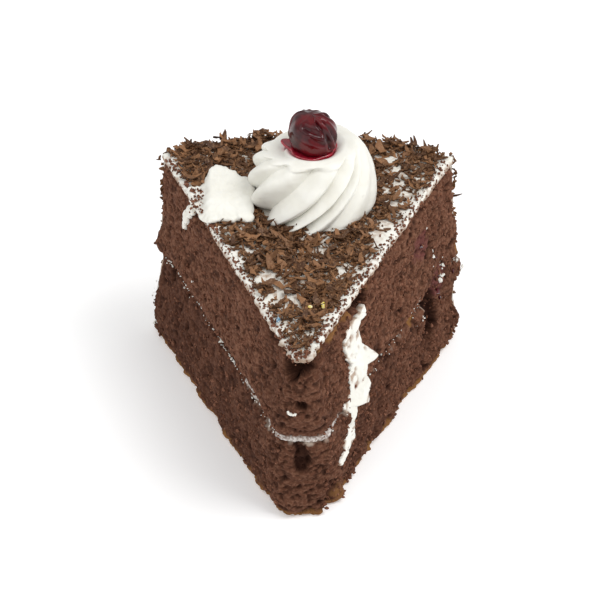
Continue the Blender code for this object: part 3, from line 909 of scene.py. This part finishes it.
# The dab's outline from above.
DAB_OUTLINE = (
    (-13.6, 79.5), (-14.6, 84.0), (-18.6, 86.4), (-22.4, 89.4), (-26.4, 90.6), (-28.4, 87.0), (-30.6, 84.4),
    (-34.2, 84.2), (-33.6, 79.4), (-32.4, 75.2), (-30.8, 72.2), (-29.8, 68.6), (-27.4, 66.4), (-23.6, 67.4),
    (-20.8, 66.8), (-18.4, 67.6), (-15.8, 66.6), (-13.8, 68.0), (-14.0, 73.0),
)
# Its section from the foot, as (share of the outline, share of its height), and then inward.
DAB_SECTION = (
    (0.90, 0.0), (0.93, 0.1), (0.97, 0.24), (1.0, 0.42), (1.005, 0.6), (0.99, 0.76), (0.96, 0.88),
    (0.91, 0.95), *((inward, 1.0) for inward in np.linspace(0.84, 0.04, 16)),
)
# The lumps that dropped over the left cut, as (along, height, reach across, back and up).
DAB_LUMPS = (
    (84.0, 63.0, (1.3, 2.4, 1.7)), (86.6, 60.4, (1.4, 2.2, 2.2)),
    (89.0, 57.0, (1.6, 2.0, 2.6)), (90.8, 53.2, (1.1, 1.5, 1.7)),
)


def lump(middle, reach, seed):
    """A rounded, uneven lump: its points, and its numbers of rows and steps."""
    steps, rows = 40, 26
    turn = full_turn(steps)[None, :]
    lean = np.linspace(-0.49, 0.49, rows)[:, None] * math.pi
    grid = polar(np.cos(lean), turn, np.sin(lean))
    grid *= (1.0 + 0.35 * noise(grid, 0.9, seed) + 0.12 * noise(grid, 0.35, seed + 1))[..., None]
    return (grid * reach + middle).reshape(-1, 3), (rows, steps)


def dab(look):
    """The torn dab of cream: a slab with a ragged rim, an undercut front and a low left skirt."""
    rim = closed_curve(DAB_OUTLINE[::-1], 18)
    middle = rim.mean(axis=0)
    keep_off = SWIRL_RADIUS - 1.6
    loops = []
    for grow, level in DAB_SECTION:
        spot = middle + (rim - middle) * grow
        away = spot - SWIRL_PLACE[:2]
        length = np.linalg.norm(away, axis=-1, keepdims=True)
        spot = SWIRL_PLACE[:2] + away * np.maximum(1.0, keep_off / length)
        back = np.clip((spot[:, 1] - 66.0) / 22.0, 0.0, 1.1)
        skirt = smooth_step(26.8, 30.6, -spot[:, 0])
        rise = (1.7 + 4.3 * back) * (1.0 - 0.6 * skirt)
        loops.append(np.column_stack([spot, CAKE_HEIGHT + 0.1 + rise * level]))
    grid = np.stack(loops)
    if np.cross(rim[1] - rim[0], middle - rim[0]) < 0:
        grid = grid[:, ::-1]
    relief = 0.35 * noise(grid, 4.2, 111) + 0.40 * noise(grid, 1.8, 112) + 0.25 * noise(grid, 0.8, 113)
    free = smooth_step(0.0, 1.2, grid[..., 2] - CAKE_HEIGHT - 0.1)
    flat = 1.0 - 0.45 * smooth_step(0.9, 1.0, np.array(DAB_SECTION)[:, 1:])
    grid = grid + normals_of(grid) * (relief * free * flat)[..., None]
    dirt = 0.35 * falling(0.3, 1.2, grid[..., 2] - CAKE_HEIGHT + 0.6 * noise(grid, 1.5, 114))
    points, faces, dirt = grid.reshape(-1, 3), loft_faces(len(grid), grid.shape[1]), dirt.ravel()
    for along, height, reach in DAB_LUMPS:
        more, size = lump(on_cut(LEFT, along, height, 0.9), reach, 115)
        faces += loft_faces(*size, first=len(points))
        points = np.concatenate([points, more])
        dirt = np.concatenate([dirt, 0.0 * more[:, 0]])
    piece("cream_dab_torn", points, look, {"dirt": dirt}, ("cream_dab",), faces)


# The smear's outline, as (level, from along, to along). A level slopes down away from the tip,
# and is the height that it has at the middle distance.
SMEAR_ROWS = (
    (65.0, 40.6, 44.0), (63.3, 39.1, 44.7), (61.0, 38.0, 44.0), (59.6, 33.5, 39.0), (56.0, 28.4, 37.8),
    (51.4, 27.1, 39.0), (48.9, 27.2, 45.2), (47.1, 28.0, 48.9), (45.3, 28.0, 44.5), (43.8, 29.1, 40.0),
    (40.8, 28.8, 40.1), (37.9, 27.4, 42.9), (32.4, 26.0, 40.3), (29.8, 25.6, 40.9), (28.6, 22.6, 32.0),
    (26.1, 24.7, 31.4), (19.3, 26.3, 32.8), (16.2, 26.4, 32.4), (13.7, 24.8, 29.7), (10.7, 23.5, 27.5),
    (8.2, 21.7, 24.9), (6.4, 20.3, 22.6),
)
SMEAR_SLOPE, SMEAR_MIDDLE = -0.67, 30.0


def smear(look):
    """The streak of cream on the right cut, with lobes, thin spots and a ragged rim."""
    rows, half = 340, 30
    table = SMEAR_ROWS[::-1]
    level = np.linspace(table[0][0], table[-1][0], rows)
    start, end = column(table, 1, level), column(table, 2, level)
    spot = np.column_stack([level, 0 * level, 0 * level])
    start = start + 0.7 * noise(spot, 1.9, 121) + 0.5 * np.abs(noise(spot, 0.9, 122))
    end = end + 0.5 * noise(spot, 2.4, 123) + 0.25 * noise(spot, 0.9, 124)
    from_end = np.minimum(np.arange(rows), rows - 1 - np.arange(rows))
    close = np.sqrt(np.clip(from_end / 10.0, 0.0, 1.0))
    middle = (start + end) / 2
    start, end = middle + (start - middle) * close, middle + (end - middle) * close

    u = np.linspace(0, 1, half)
    under = np.column_stack([u, np.zeros(half)])
    over = np.column_stack([u[::-1], np.sin(math.pi * (0.02 + 0.96 * u[::-1])) ** 0.5])
    across, swell = np.concatenate([over, under]).T
    along = start[:, None] + across[None, :] * (end - start)[:, None]
    height = level[:, None] + SMEAR_SLOPE * (along - SMEAR_MIDDLE)
    base = on_cut(RIGHT, along, height)
    place = np.stack([along, height, 0.0 * along], axis=-1)
    thick = 0.8 + 0.55 * noise(place, 5.0, 125) + 0.35 * noise(place, 1.8, 126)
    thick += 0.12 * noise(place, 0.8, 128)
    thick = np.clip(thick, 0.15, 1.7) * swell * close[:, None]
    shape, hole = formed(base)
    out = shape + hole + 0.95 + thick - 1.4 * (swell == 0.0)
    grid = on_cut(RIGHT, along, height, out)
    thin = falling(0.25, 0.7, thick) * smooth_step(-0.1, 0.4, noise(place, 1.6, 127))
    piece("cream_smear_wiped", grid, look, {"dirt": 0.8 * thin}, ("cream_smear",))


# ---------------- scattered things


def spins(axis, angles):
    """Rotations about one axis."""
    after, last = (axis + 1) % 3, (axis + 2) % 3
    matrix = np.zeros((len(angles), 3, 3))
    matrix[:, axis, axis] = 1.0
    matrix[:, after, after] = matrix[:, last, last] = np.cos(angles)
    matrix[:, last, after] = np.sin(angles)
    matrix[:, after, last] = -np.sin(angles)
    return matrix


def turned(local, normals, rng, tilt):
    """Local shapes turned at random about a surface's normals, and tilted by about tilt."""
    count = len(local)
    helper = np.where(np.abs(normals[:, 2:3]) > 0.9, (1.0, 0.0, 0.0), (0.0, 0.0, 1.0))
    side = np.cross(helper, normals)
    side /= np.linalg.norm(side, axis=-1, keepdims=True)
    ahead = np.cross(normals, side)
    base = np.stack([side, ahead, normals], axis=-1)
    yaw = rng.uniform(0, 2 * math.pi, count)
    pitch = rng.normal(0, tilt, count)
    roll = rng.normal(0, tilt, count)
    full = base @ spins(2, yaw) @ spins(1, pitch) @ spins(0, roll)
    return np.einsum("nij,nkj->nki", full, local)


def flake_shapes(rng, length, width, thick, curl, stations=5):
    """Curled flakes with ragged widths: points (count, stations * 4, 3) and one flake's faces."""
    count = len(length)
    u = np.linspace(-0.5, 0.5, stations)[None, :]
    bend = np.maximum(curl, 0.05)[:, None]
    x = length[:, None] * np.sin(u * bend) / bend
    z = length[:, None] * (1 - np.cos(u * bend)) / bend * 2.0
    taper = 0.35 + 0.65 * np.sqrt(np.clip(1 - (2 * u) ** 2, 0, 1))
    half = 0.5 * width[:, None] * taper * rng.uniform(0.65, 1.25, (count, stations))
    shift = 0.25 * width[:, None] * rng.normal(0, 1, (count, stations))
    twist = rng.normal(0, 0.5, count)[:, None] * u * 2
    t = 0.5 * thick[:, None] * rng.uniform(0.6, 1.2, (count, stations))
    corners = []
    for across, up in ((-1, -1), (1, -1), (1, 1), (-1, 1)):
        y, lift = across * half + shift, up * t
        corners.append(np.stack([x, y * np.cos(twist) - lift * np.sin(twist),
                                 z + y * np.sin(twist) + lift * np.cos(twist)], axis=-1))
    points = np.stack(corners, axis=2).reshape(count, stations * 4, 3)
    faces = []
    for s in range(stations - 1):
        for k in range(4):
            m = (k + 1) % 4
            faces.append((s * 4 + k, s * 4 + m, (s + 1) * 4 + m, (s + 1) * 4 + k))
    faces += [(3, 2, 1, 0), tuple((stations - 1) * 4 + k for k in range(4))]
    return points, np.array(faces)


# An icosahedron, which is what a crumb starts from.
ICO = (1 + math.sqrt(5)) / 2
ICO_POINTS = np.array([
    (-1, ICO, 0), (1, ICO, 0), (-1, -ICO, 0), (1, -ICO, 0), (0, -1, ICO), (0, 1, ICO),
    (0, -1, -ICO), (0, 1, -ICO), (ICO, 0, -1), (ICO, 0, 1), (-ICO, 0, -1), (-ICO, 0, 1),
])
ICO_POINTS /= np.linalg.norm(ICO_POINTS[0])
ICO_FACES = np.array([
    (0, 11, 5), (0, 5, 1), (0, 1, 7), (0, 7, 10), (0, 10, 11), (1, 5, 9), (5, 11, 4), (11, 10, 2),
    (10, 7, 6), (7, 1, 8), (3, 9, 4), (3, 4, 2), (3, 2, 6), (3, 6, 8), (3, 8, 9), (4, 9, 5),
    (2, 4, 11), (6, 2, 10), (8, 6, 7), (9, 8, 1),
])


def lump_shapes(rng, radius, uneven):
    """Irregular crumbs: points (count, 12, 3) and one crumb's faces."""
    count = len(radius)
    shape = ICO_POINTS[None] * rng.uniform(1 - uneven, 1 + uneven, (count, 12, 1))
    return shape * radius[:, None, None] * rng.uniform(0.7, 1.3, (count, 1, 3)), ICO_FACES


def scatter(name, shapes, faces, places, look, tones):
    """One mesh of all these small shapes, each with its own tone."""
    count, each = shapes.shape[:2]
    points = shapes + places[:, None, :]
    index = (faces[None] + (np.arange(count) * each)[:, None, None]).reshape(-1, faces.shape[1])
    values = {"tone": np.repeat(tones, each)}
    piece(name, points, look, values, faces=index.tolist(), sharp=35)


def scatter_lumps(name, rng, places, radius, look, uneven=0.28):
    """One mesh of irregular crumbs of these radii."""
    shapes, faces = lump_shapes(rng, radius, uneven)
    scatter(name, shapes, faces, places, look, rng.uniform(0, 1, len(places)))


# The part of the top that the dab covers, as (from x, to x, from y, to y).
UNDER_DAB = (-30.5, -17.0, 69.0, 84.0)


def on_top(rng, count, margin):
    """Random places on the cream's top, clear of the cuts by margin and of the swirl and dab."""
    turn = rng.uniform(-CUT_ANGLE[LEFT], CUT_ANGLE[RIGHT], count)
    far = CAKE_RADIUS * np.sqrt(rng.uniform(0, 1, count))
    x, y = far * np.sin(turn), far * np.cos(turn)
    spot = np.column_stack([x, y, np.zeros(count)])
    ragged = margin * (1.0 + 0.7 * noise(spot, 4.0, 131) + 0.6 * noise(spot, 1.5, 132))
    keep = (inside_cut(LEFT, x, y) > ragged) & (inside_cut(RIGHT, x, y) > ragged)
    keep &= np.hypot(x - SWIRL_PLACE[0], y - SWIRL_PLACE[1]) > SWIRL_RADIUS - 2.5
    from_x, to_x, from_y, to_y = UNDER_DAB
    keep &= ~((x > from_x) & (x < to_x) & (y > from_y) & (y < to_y))
    return spot[keep]


# Bare patches in the shavings, as (x, y, reach across, reach back, how bare).
BARE = (
    (-10.2, 39.4, 3.2, 3.4, 1.0), (-5.8, 35.0, 2.6, 3.6, 1.0), (-1.5, 30.2, 2.6, 2.6, 0.8),
    (-7.2, 29.7, 2.0, 2.4, 0.8), (5.5, 52.9, 3.0, 2.0, 0.7), (10.2, 56.0, 2.6, 1.6, 0.7),
    (12.5, 43.9, 2.4, 3.0, 0.8), (25.5, 65.7, 3.6, 4.0, 0.9), (24.4, 57.0, 3.6, 3.4, 1.0),
    (22.2, 50.9, 3.2, 3.6, 0.9), (31.2, 91.1, 4.0, 7.0, 0.6), (32.5, 82.0, 2.6, 3.4, 0.9),
    (26.5, 101.0, 5.5, 3.0, 0.7), (-37.0, 87.3, 2.4, 9.0, 0.6), (-1.0, 15.0, 6.0, 5.0, 0.45),
    (4.3, 22.5, 2.0, 2.0, 0.5), (28.0, 76.0, 6.0, 14.0, 0.35),
)


def bare_patches(spot):
    """How likely a place on the top is to be covered, from 0 to 1."""
    bare = np.zeros(len(spot))
    for x, y, wide, deep, amount in BARE:
        away = np.hypot((spot[:, 0] - x) / (wide + 0.3), (spot[:, 1] - y) / (deep + 0.5))
        bare = np.maximum(bare, amount * falling(0.75, 1.1, away + 0.6 * noise(spot, 2.0, 133)))
    patch = noise(spot, 4.0, 134) + 0.8 * noise(spot, 2.0, 135)
    return np.clip(1.0 - bare - 0.6 * smooth_step(0.2, 0.7, patch), 0.0, 1.0)


# Where clumps of flakes stand up at the top's back edge.
STANDING = (
    (-33.6, 107.5), (-12.0, 112.2), (-9.8, 112.4), (-14.0, 111.4),
    (20.0, 111.4), (30.0, 108.8), (27.5, 109.6),
)
STANDING_EACH = 7
# The shavings on the top, as (piece, tries, lengths, widths, thicknesses, largest curl, tilt, how
# high they pile, how far they keep from the cuts, points along each).
SHAVINGS = (
    ("chocolate_chips_top", 6000, (0.6, 1.8), (0.35, 1.0), (0.25, 0.5), 0.4, 0.4, 0.5, 0.9, 3),
    ("chocolate_flakes_top", 2700, (1.8, 4.6), (0.5, 1.6), (0.18, 0.38), 1.2, 0.24, 1.1, 1.9, 5),
    ("chocolate_curls_top", 460, (3.8, 8.0), (1.0, 2.8), (0.2, 0.4), 1.6, 0.18, 1.6, 3.0, 5),
)


def shavings_top(look):
    """Grated chocolate over the cream's top: chips, flakes and a few long curls."""
    rng = np.random.default_rng(7)
    for name, tries, long, wide, thick, curl, tilt, lift, margin, stations in SHAVINGS:
        spot = on_top(rng, tries, margin)
        spot = spot[rng.uniform(0, 1, len(spot)) < bare_patches(spot)]
        standing = np.zeros(len(spot))
        if name == "chocolate_flakes_top":
            clumps = np.repeat(np.column_stack([STANDING, np.zeros(len(STANDING))]), STANDING_EACH, axis=0)
            clumps[:, :2] += rng.normal(0, 0.9, (len(clumps), 2))
            spot = np.concatenate([spot, clumps])
            standing = np.concatenate([standing, rng.uniform(0.2, 2.1, len(clumps))])
        count = len(spot)
        shapes, faces = flake_shapes(
            rng, rng.uniform(*long, count), rng.uniform(*wide, count), rng.uniform(*thick, count),
            rng.uniform(0.1, curl, count), stations)
        shapes = turned(shapes, np.tile((0.0, 0.0, 1.0), (count, 1)), rng, tilt)
        lowest = shapes[..., 2].min(axis=1)
        pile = smooth_step(0.2, 0.9, bare_patches(spot))
        spot[:, 2] = CAKE_HEIGHT - 0.15 - lowest * 0.75 + rng.uniform(0, lift, count) * pile + standing
        scatter(name, shapes, faces, spot, look, rng.uniform(0, 1, count) ** 1.9)


def shavings_side(look):
    """The same shavings pressed on the cream down the round side."""
    rng = np.random.default_rng(8)
    count = 4300
    turn = rng.uniform(-CUT_ANGLE[LEFT] - 0.012, CUT_ANGLE[RIGHT] + 0.012, count)
    height = rng.uniform(0.8, CAKE_HEIGHT + 0.3, count)
    normal = np.column_stack([np.sin(turn), np.cos(turn), np.zeros(count)])
    long = rng.choice([1.3, 2.4, 3.8], count, p=[0.5, 0.4, 0.1]) * rng.uniform(0.7, 1.3, count)
    wide = rng.uniform(0.6, 1.5, count)
    thick = rng.uniform(0.2, 0.4, count)
    shapes, faces = flake_shapes(rng, long, wide, thick, rng.uniform(0.1, 1.0, count), 4)
    shapes = turned(shapes, normal, rng, 0.13)
    inner = np.einsum("nki,ni->nk", shapes, normal).min(axis=1)
    places = normal * (CAKE_RADIUS - 0.45 - inner * 0.7 + rng.uniform(0, 0.6, count))[:, None]
    places[:, 2] = np.maximum(height, -shapes[..., 2].min(axis=1) + 0.1)
    tones = rng.uniform(0, 1, count) ** 1.2
    scatter("chocolate_flakes_side", shapes, faces, places, look, tones)


def on_sides(side, along, height, out=0.0):
    """Points on the cut faces, each on its own side."""
    right, left = (on_cut(which, along, height, out) for which in (RIGHT, LEFT))
    return np.where((side == RIGHT)[:, None], right, left)


def on_cuts(rng, count, low, high, lean):
    """Random places on the two cut faces, lean of them on the right one, and their normals."""
    side = np.where(rng.uniform(0, 1, count) < lean, RIGHT, LEFT)
    along = rng.uniform(10.0, 111.0, count)
    height = rng.uniform(low, high, count)
    normal = np.where((side == RIGHT)[:, None], cut_normal(RIGHT), cut_normal(LEFT))
    return on_sides(side, along, height), normal


def on_crumb(points, normal, out=0.0):
    """Places of the cuts moved out to the crumb's own surface."""
    relief, _ = crumb_relief(points, roughness_at(points))
    return points + normal * (relief + formed(points)[0] + out)[..., None]


# Each of these gives (places, radii) of one group of loose crumbs.


def crumbs_on_cuts(rng):
    places, normal = on_cuts(rng, 2600, 1.0, 61.5, 0.62)
    radius = 0.18 + 0.5 * rng.uniform(0, 1, len(places)) ** 1.6
    return on_crumb(places, normal, 0.25 * radius), radius


def crumbs_on_rim(rng, count=760):
    side = rng.choice([LEFT, RIGHT], count)
    along = 2.0 + 108.0 * rng.uniform(0, 1, count) ** 1.3
    inward = -np.abs(rng.normal(0, 1.3, count)) - 0.1
    rim = on_sides(side, along, CAKE_HEIGHT, inward)
    rim[:, 2] = CAKE_HEIGHT + 0.1
    return rim, 0.15 + 0.4 * rng.uniform(0, 1, count) ** 2


def crumbs_on_coat_edge(rng):
    places, normal = on_cuts(rng, 420, CREAM_LOW, CAKE_HEIGHT - 0.4, 0.5)
    return places + normal * 0.1, rng.uniform(0.15, 0.5, len(places))


def crumbs_on_tip(rng, count=30, top_count=24):
    tip = section(CREAM_LOW + 1.2, CAKE_RADIUS, 0.3, (60, 4, 44))[-44:]
    tip = tip[rng.integers(0, len(tip), count)] + rng.normal(0, 0.3, (count, 3))
    tip[:, 2] = rng.uniform(CREAM_LOW - 0.4, CAKE_HEIGHT + 0.1, count)
    across = rng.normal(0, 2.4, top_count)
    back = 5.5 + 5.0 * rng.uniform(0, 1, top_count)
    top = np.column_stack([across, back, np.full(top_count, CAKE_HEIGHT - 0.1)])
    tip = np.concatenate([tip, top[np.abs(across) < 0.8 + 0.4 * back]])
    return tip, 0.15 + 0.4 * rng.uniform(0, 1, len(tip)) ** 1.5


def crumbs_on_dab(rng, count=70):
    part = rng.uniform(0, 1, (count, 2))
    spots = np.column_stack([-33 + 4 * part[:, 0], 70 + 13 * part[:, 1], np.full(count, CAKE_HEIGHT + 2.2)])
    return spots, rng.uniform(0.15, 0.5, count)


def loose_crumbs(look):
    """Crumbs that cling to the cuts, the cream's borders, the tip and the dab's left skirt."""
    rng = np.random.default_rng(9)
    groups = (crumbs_on_cuts, crumbs_on_rim, crumbs_on_coat_edge, crumbs_on_tip, crumbs_on_dab)
    spots, sizes = (np.concatenate(parts) for parts in zip(*[group(rng) for group in groups]))
    spots[:, 2] = np.maximum(spots[:, 2], sizes * 0.8)
    scatter_lumps("sponge_crumbs", rng, spots, sizes, look)


# Bits of cream in the cuts, as (side, along, height, spread along, spread up, largest, count).
CREAM_BITS = (
    (LEFT, 104.5, 30.3, 2.4, 1.0, 0.5, 10), (LEFT, 91, 30.4, 3.5, 0.8, 0.55, 18),
    (LEFT, 79, 30.6, 0.9, 0.5, 0.65, 7), (LEFT, 82, 38.2, 0.6, 0.6, 0.35, 3),
    (LEFT, 61.4, 30.4, 1.6, 0.4, 0.45, 8), (LEFT, 51, 30.6, 1.8, 0.4, 0.5, 8),
    (LEFT, 52, 30.2, 24.0, 0.6, 0.3, 64), (LEFT, 111, 3.0, 0.6, 1.0, 0.5, 6),
    (LEFT, 112, 14, 0.5, 2.5, 0.5, 8), (RIGHT, 75.8, 31.4, 0.5, 1.2, 0.55, 9),
    (RIGHT, 54, 30.0, 17.0, 0.6, 0.32, 46), (RIGHT, 100, 31, 1.2, 2.0, 0.7, 16),
    (RIGHT, 94.3, 40.7, 0.5, 2.2, 0.5, 8), (RIGHT, 108, 30.5, 1.0, 1.0, 0.6, 7),
    (RIGHT, 112, 25, 0.5, 1.3, 0.6, 6), (RIGHT, 89.3, 54.4, 0.3, 0.3, 0.45, 2),
    (RIGHT, 80.8, 31, 0.25, 3.0, 0.38, 18),
)
# The bit of cream on the tip, as lumps (x, height, radius), and its distance from the axis.
NOSE_BIT = ((-3.2, 43.2, 0.5), (-2.7, 43.0, 0.65), (-2.1, 42.8, 0.55), (-1.5, 43.0, 0.4), (-3.5, 43.9, 0.35))
NOSE_BIT_BACK = 3.9


def cream_bits(look):
    """Small bits of cream caught in the crumb, and along the filling."""
    rng = np.random.default_rng(10)
    spots, sizes = [], []
    for side, along, height, spread, rise, largest, count in CREAM_BITS:
        a = np.clip(along + spread * rng.normal(0, 1, count), 14.0, 112.5)
        h = height + rise * rng.normal(0, 1, count)
        spots.append(on_crumb(on_cut(side, a, np.maximum(h, 0.8)), cut_normal(side)))
        sizes.append(0.15 + (largest - 0.15) * rng.uniform(0, 1, count) ** 1.5)
    spots.append(np.array([(x, NOSE_BIT_BACK, z) for x, z, _ in NOSE_BIT]))
    sizes.append(np.array([radius for *_, radius in NOSE_BIT]))
    scatter_lumps("cream_bits", rng, np.concatenate(spots), np.concatenate(sizes), look, 0.35)


# Red bits of fruit in the right cut, as (along, height, radius).
CHERRY_BITS = ((96.0, 26.2, 1.2), (99.0, 22.0, 0.8), (106.0, 27.5, 0.9), (85.7, 49.4, 0.8), (97.0, 38.0, 0.7))


def cherry_bits(look):
    """Red bits of fruit in and round the torn hollow of the right cut."""
    rng = np.random.default_rng(11)
    along, height, radius = np.array(CHERRY_BITS).T
    spots = on_crumb(on_cut(RIGHT, along, height), cut_normal(RIGHT), 0.1)
    scatter_lumps("cherry_bits", rng, spots, radius, look, 0.3)


def sugar_bits():
    """Three sugar sprinkles that fell on the shavings near the tip."""
    rng = np.random.default_rng(12)
    for name, colour, spots in (
        ("sugar_bits_yellow", (0.80, 0.62, 0.02), ((6.6, 24.6, 1.15), (2.8, 24.0, 0.6))),
        ("sugar_bit_blue", (0.04, 0.17, 0.28), ((-6.3, 17.6, 0.85),)),
    ):
        places = np.array([(x, y, CAKE_HEIGHT + 1.3) for x, y, _ in spots])
        shapes, faces = lump_shapes(rng, np.array([radius for *_, radius in spots]), 0.15)
        scatter(name, shapes, faces, places, sugar_look(name, colour), np.ones(len(places)))


# ---------------- stage


# (name, place from the slice's middle in metres, size, power)
LAMPS = (("key", (0.66, -0.25, 1.07), 0.75, 10.0), ("fill", (-0.8, -0.6, 0.9), 1.4, 5.0))
FLOOR_REACH = 3.0
SLICE_MIDDLE = (1.7, 68.3, 36.0)
CAMERA_LENS, CAMERA_LIFT, CAMERA_DISTANCE = 177.6, math.radians(36.5), 0.9
CAMERA_ASIDE = -0.0018


def floor():
    """A pale floor that glows faintly, so that it ends up nearly white."""
    mesh = bpy.data.meshes.new("floor")
    corners = [(x * FLOOR_REACH, y * FLOOR_REACH, 0) for x, y in ((-1, -1), (1, -1), (1, 1), (-1, 1))]
    mesh.from_pydata(corners, [], [(0, 1, 2, 3)])
    look = Shader("floor_paint", 0.6, Emission_Color=(1.0, 1.0, 1.0, 1.0), Emission_Strength=0.2)
    look.colour(look.mix(look.noise(60.0, 1.0), (0.93, 0.93, 0.93), (0.95, 0.95, 0.95)))
    mesh.materials.append(look.material)
    made = bpy.data.objects.new("floor", mesh)
    bpy.context.scene.collection.objects.link(made)


def stage():
    """The floor, soft light from all round with a large lamp at the right, and the camera."""
    scene = bpy.context.scene
    scene.view_settings.view_transform = "Standard"
    world = bpy.data.worlds.new("studio")
    world.use_nodes = True
    sky = world.node_tree.nodes["Background"].inputs
    sky["Color"].default_value = (1.0, 1.0, 1.0, 1.0)
    sky["Strength"].default_value = 0.6
    scene.world = world
    floor()

    middle = Vector(to_world(SLICE_MIDDLE))
    for name, place, size, power in LAMPS:
        light = bpy.data.lights.new(name, "AREA")
        light.size = size
        light.energy = power
        lamp = bpy.data.objects.new(name, light)
        lamp.location = middle + Vector(place)
        lamp.rotation_euler = (middle - lamp.location).to_track_quat("-Z", "Y").to_euler()
        scene.collection.objects.link(lamp)

    data = bpy.data.cameras.new("camera")
    data.sensor_width = 36.0
    data.lens = CAMERA_LENS
    data.clip_start = 0.05
    camera = bpy.data.objects.new("camera", data)
    aim = middle + Vector((CAMERA_ASIDE, 0.0, 0.0))
    behind = Vector((0.0, -math.cos(CAMERA_LIFT), math.sin(CAMERA_LIFT)))
    camera.location = aim + behind * CAMERA_DISTANCE
    camera.rotation_euler = (math.pi / 2 - CAMERA_LIFT, 0.0, 0.0)
    scene.collection.objects.link(camera)
    scene.camera = camera


# ---------------- the slice

sponge = sponge_look()
cream = cream_look()
chocolate = shaving_look()
fruit = cherry_look()
sponge_layer("sponge_lower_crumb", 0.0, LOWER_TOP, sponge, "sponge_lower")
sponge_layer("sponge_upper_crumb", UPPER_LOW, CREAM_LOW - 0.2, sponge, "sponge_upper")
filling(filling_look())
coat(cream)
swirl(cream)
cherry(fruit)
syrup(syrup_look())
dab(cream)
smear(cream)
shavings_top(chocolate)
shavings_side(chocolate)
loose_crumbs(crumb_look())
cream_bits(cream)
cherry_bits(fruit)
sugar_bits()
stage()
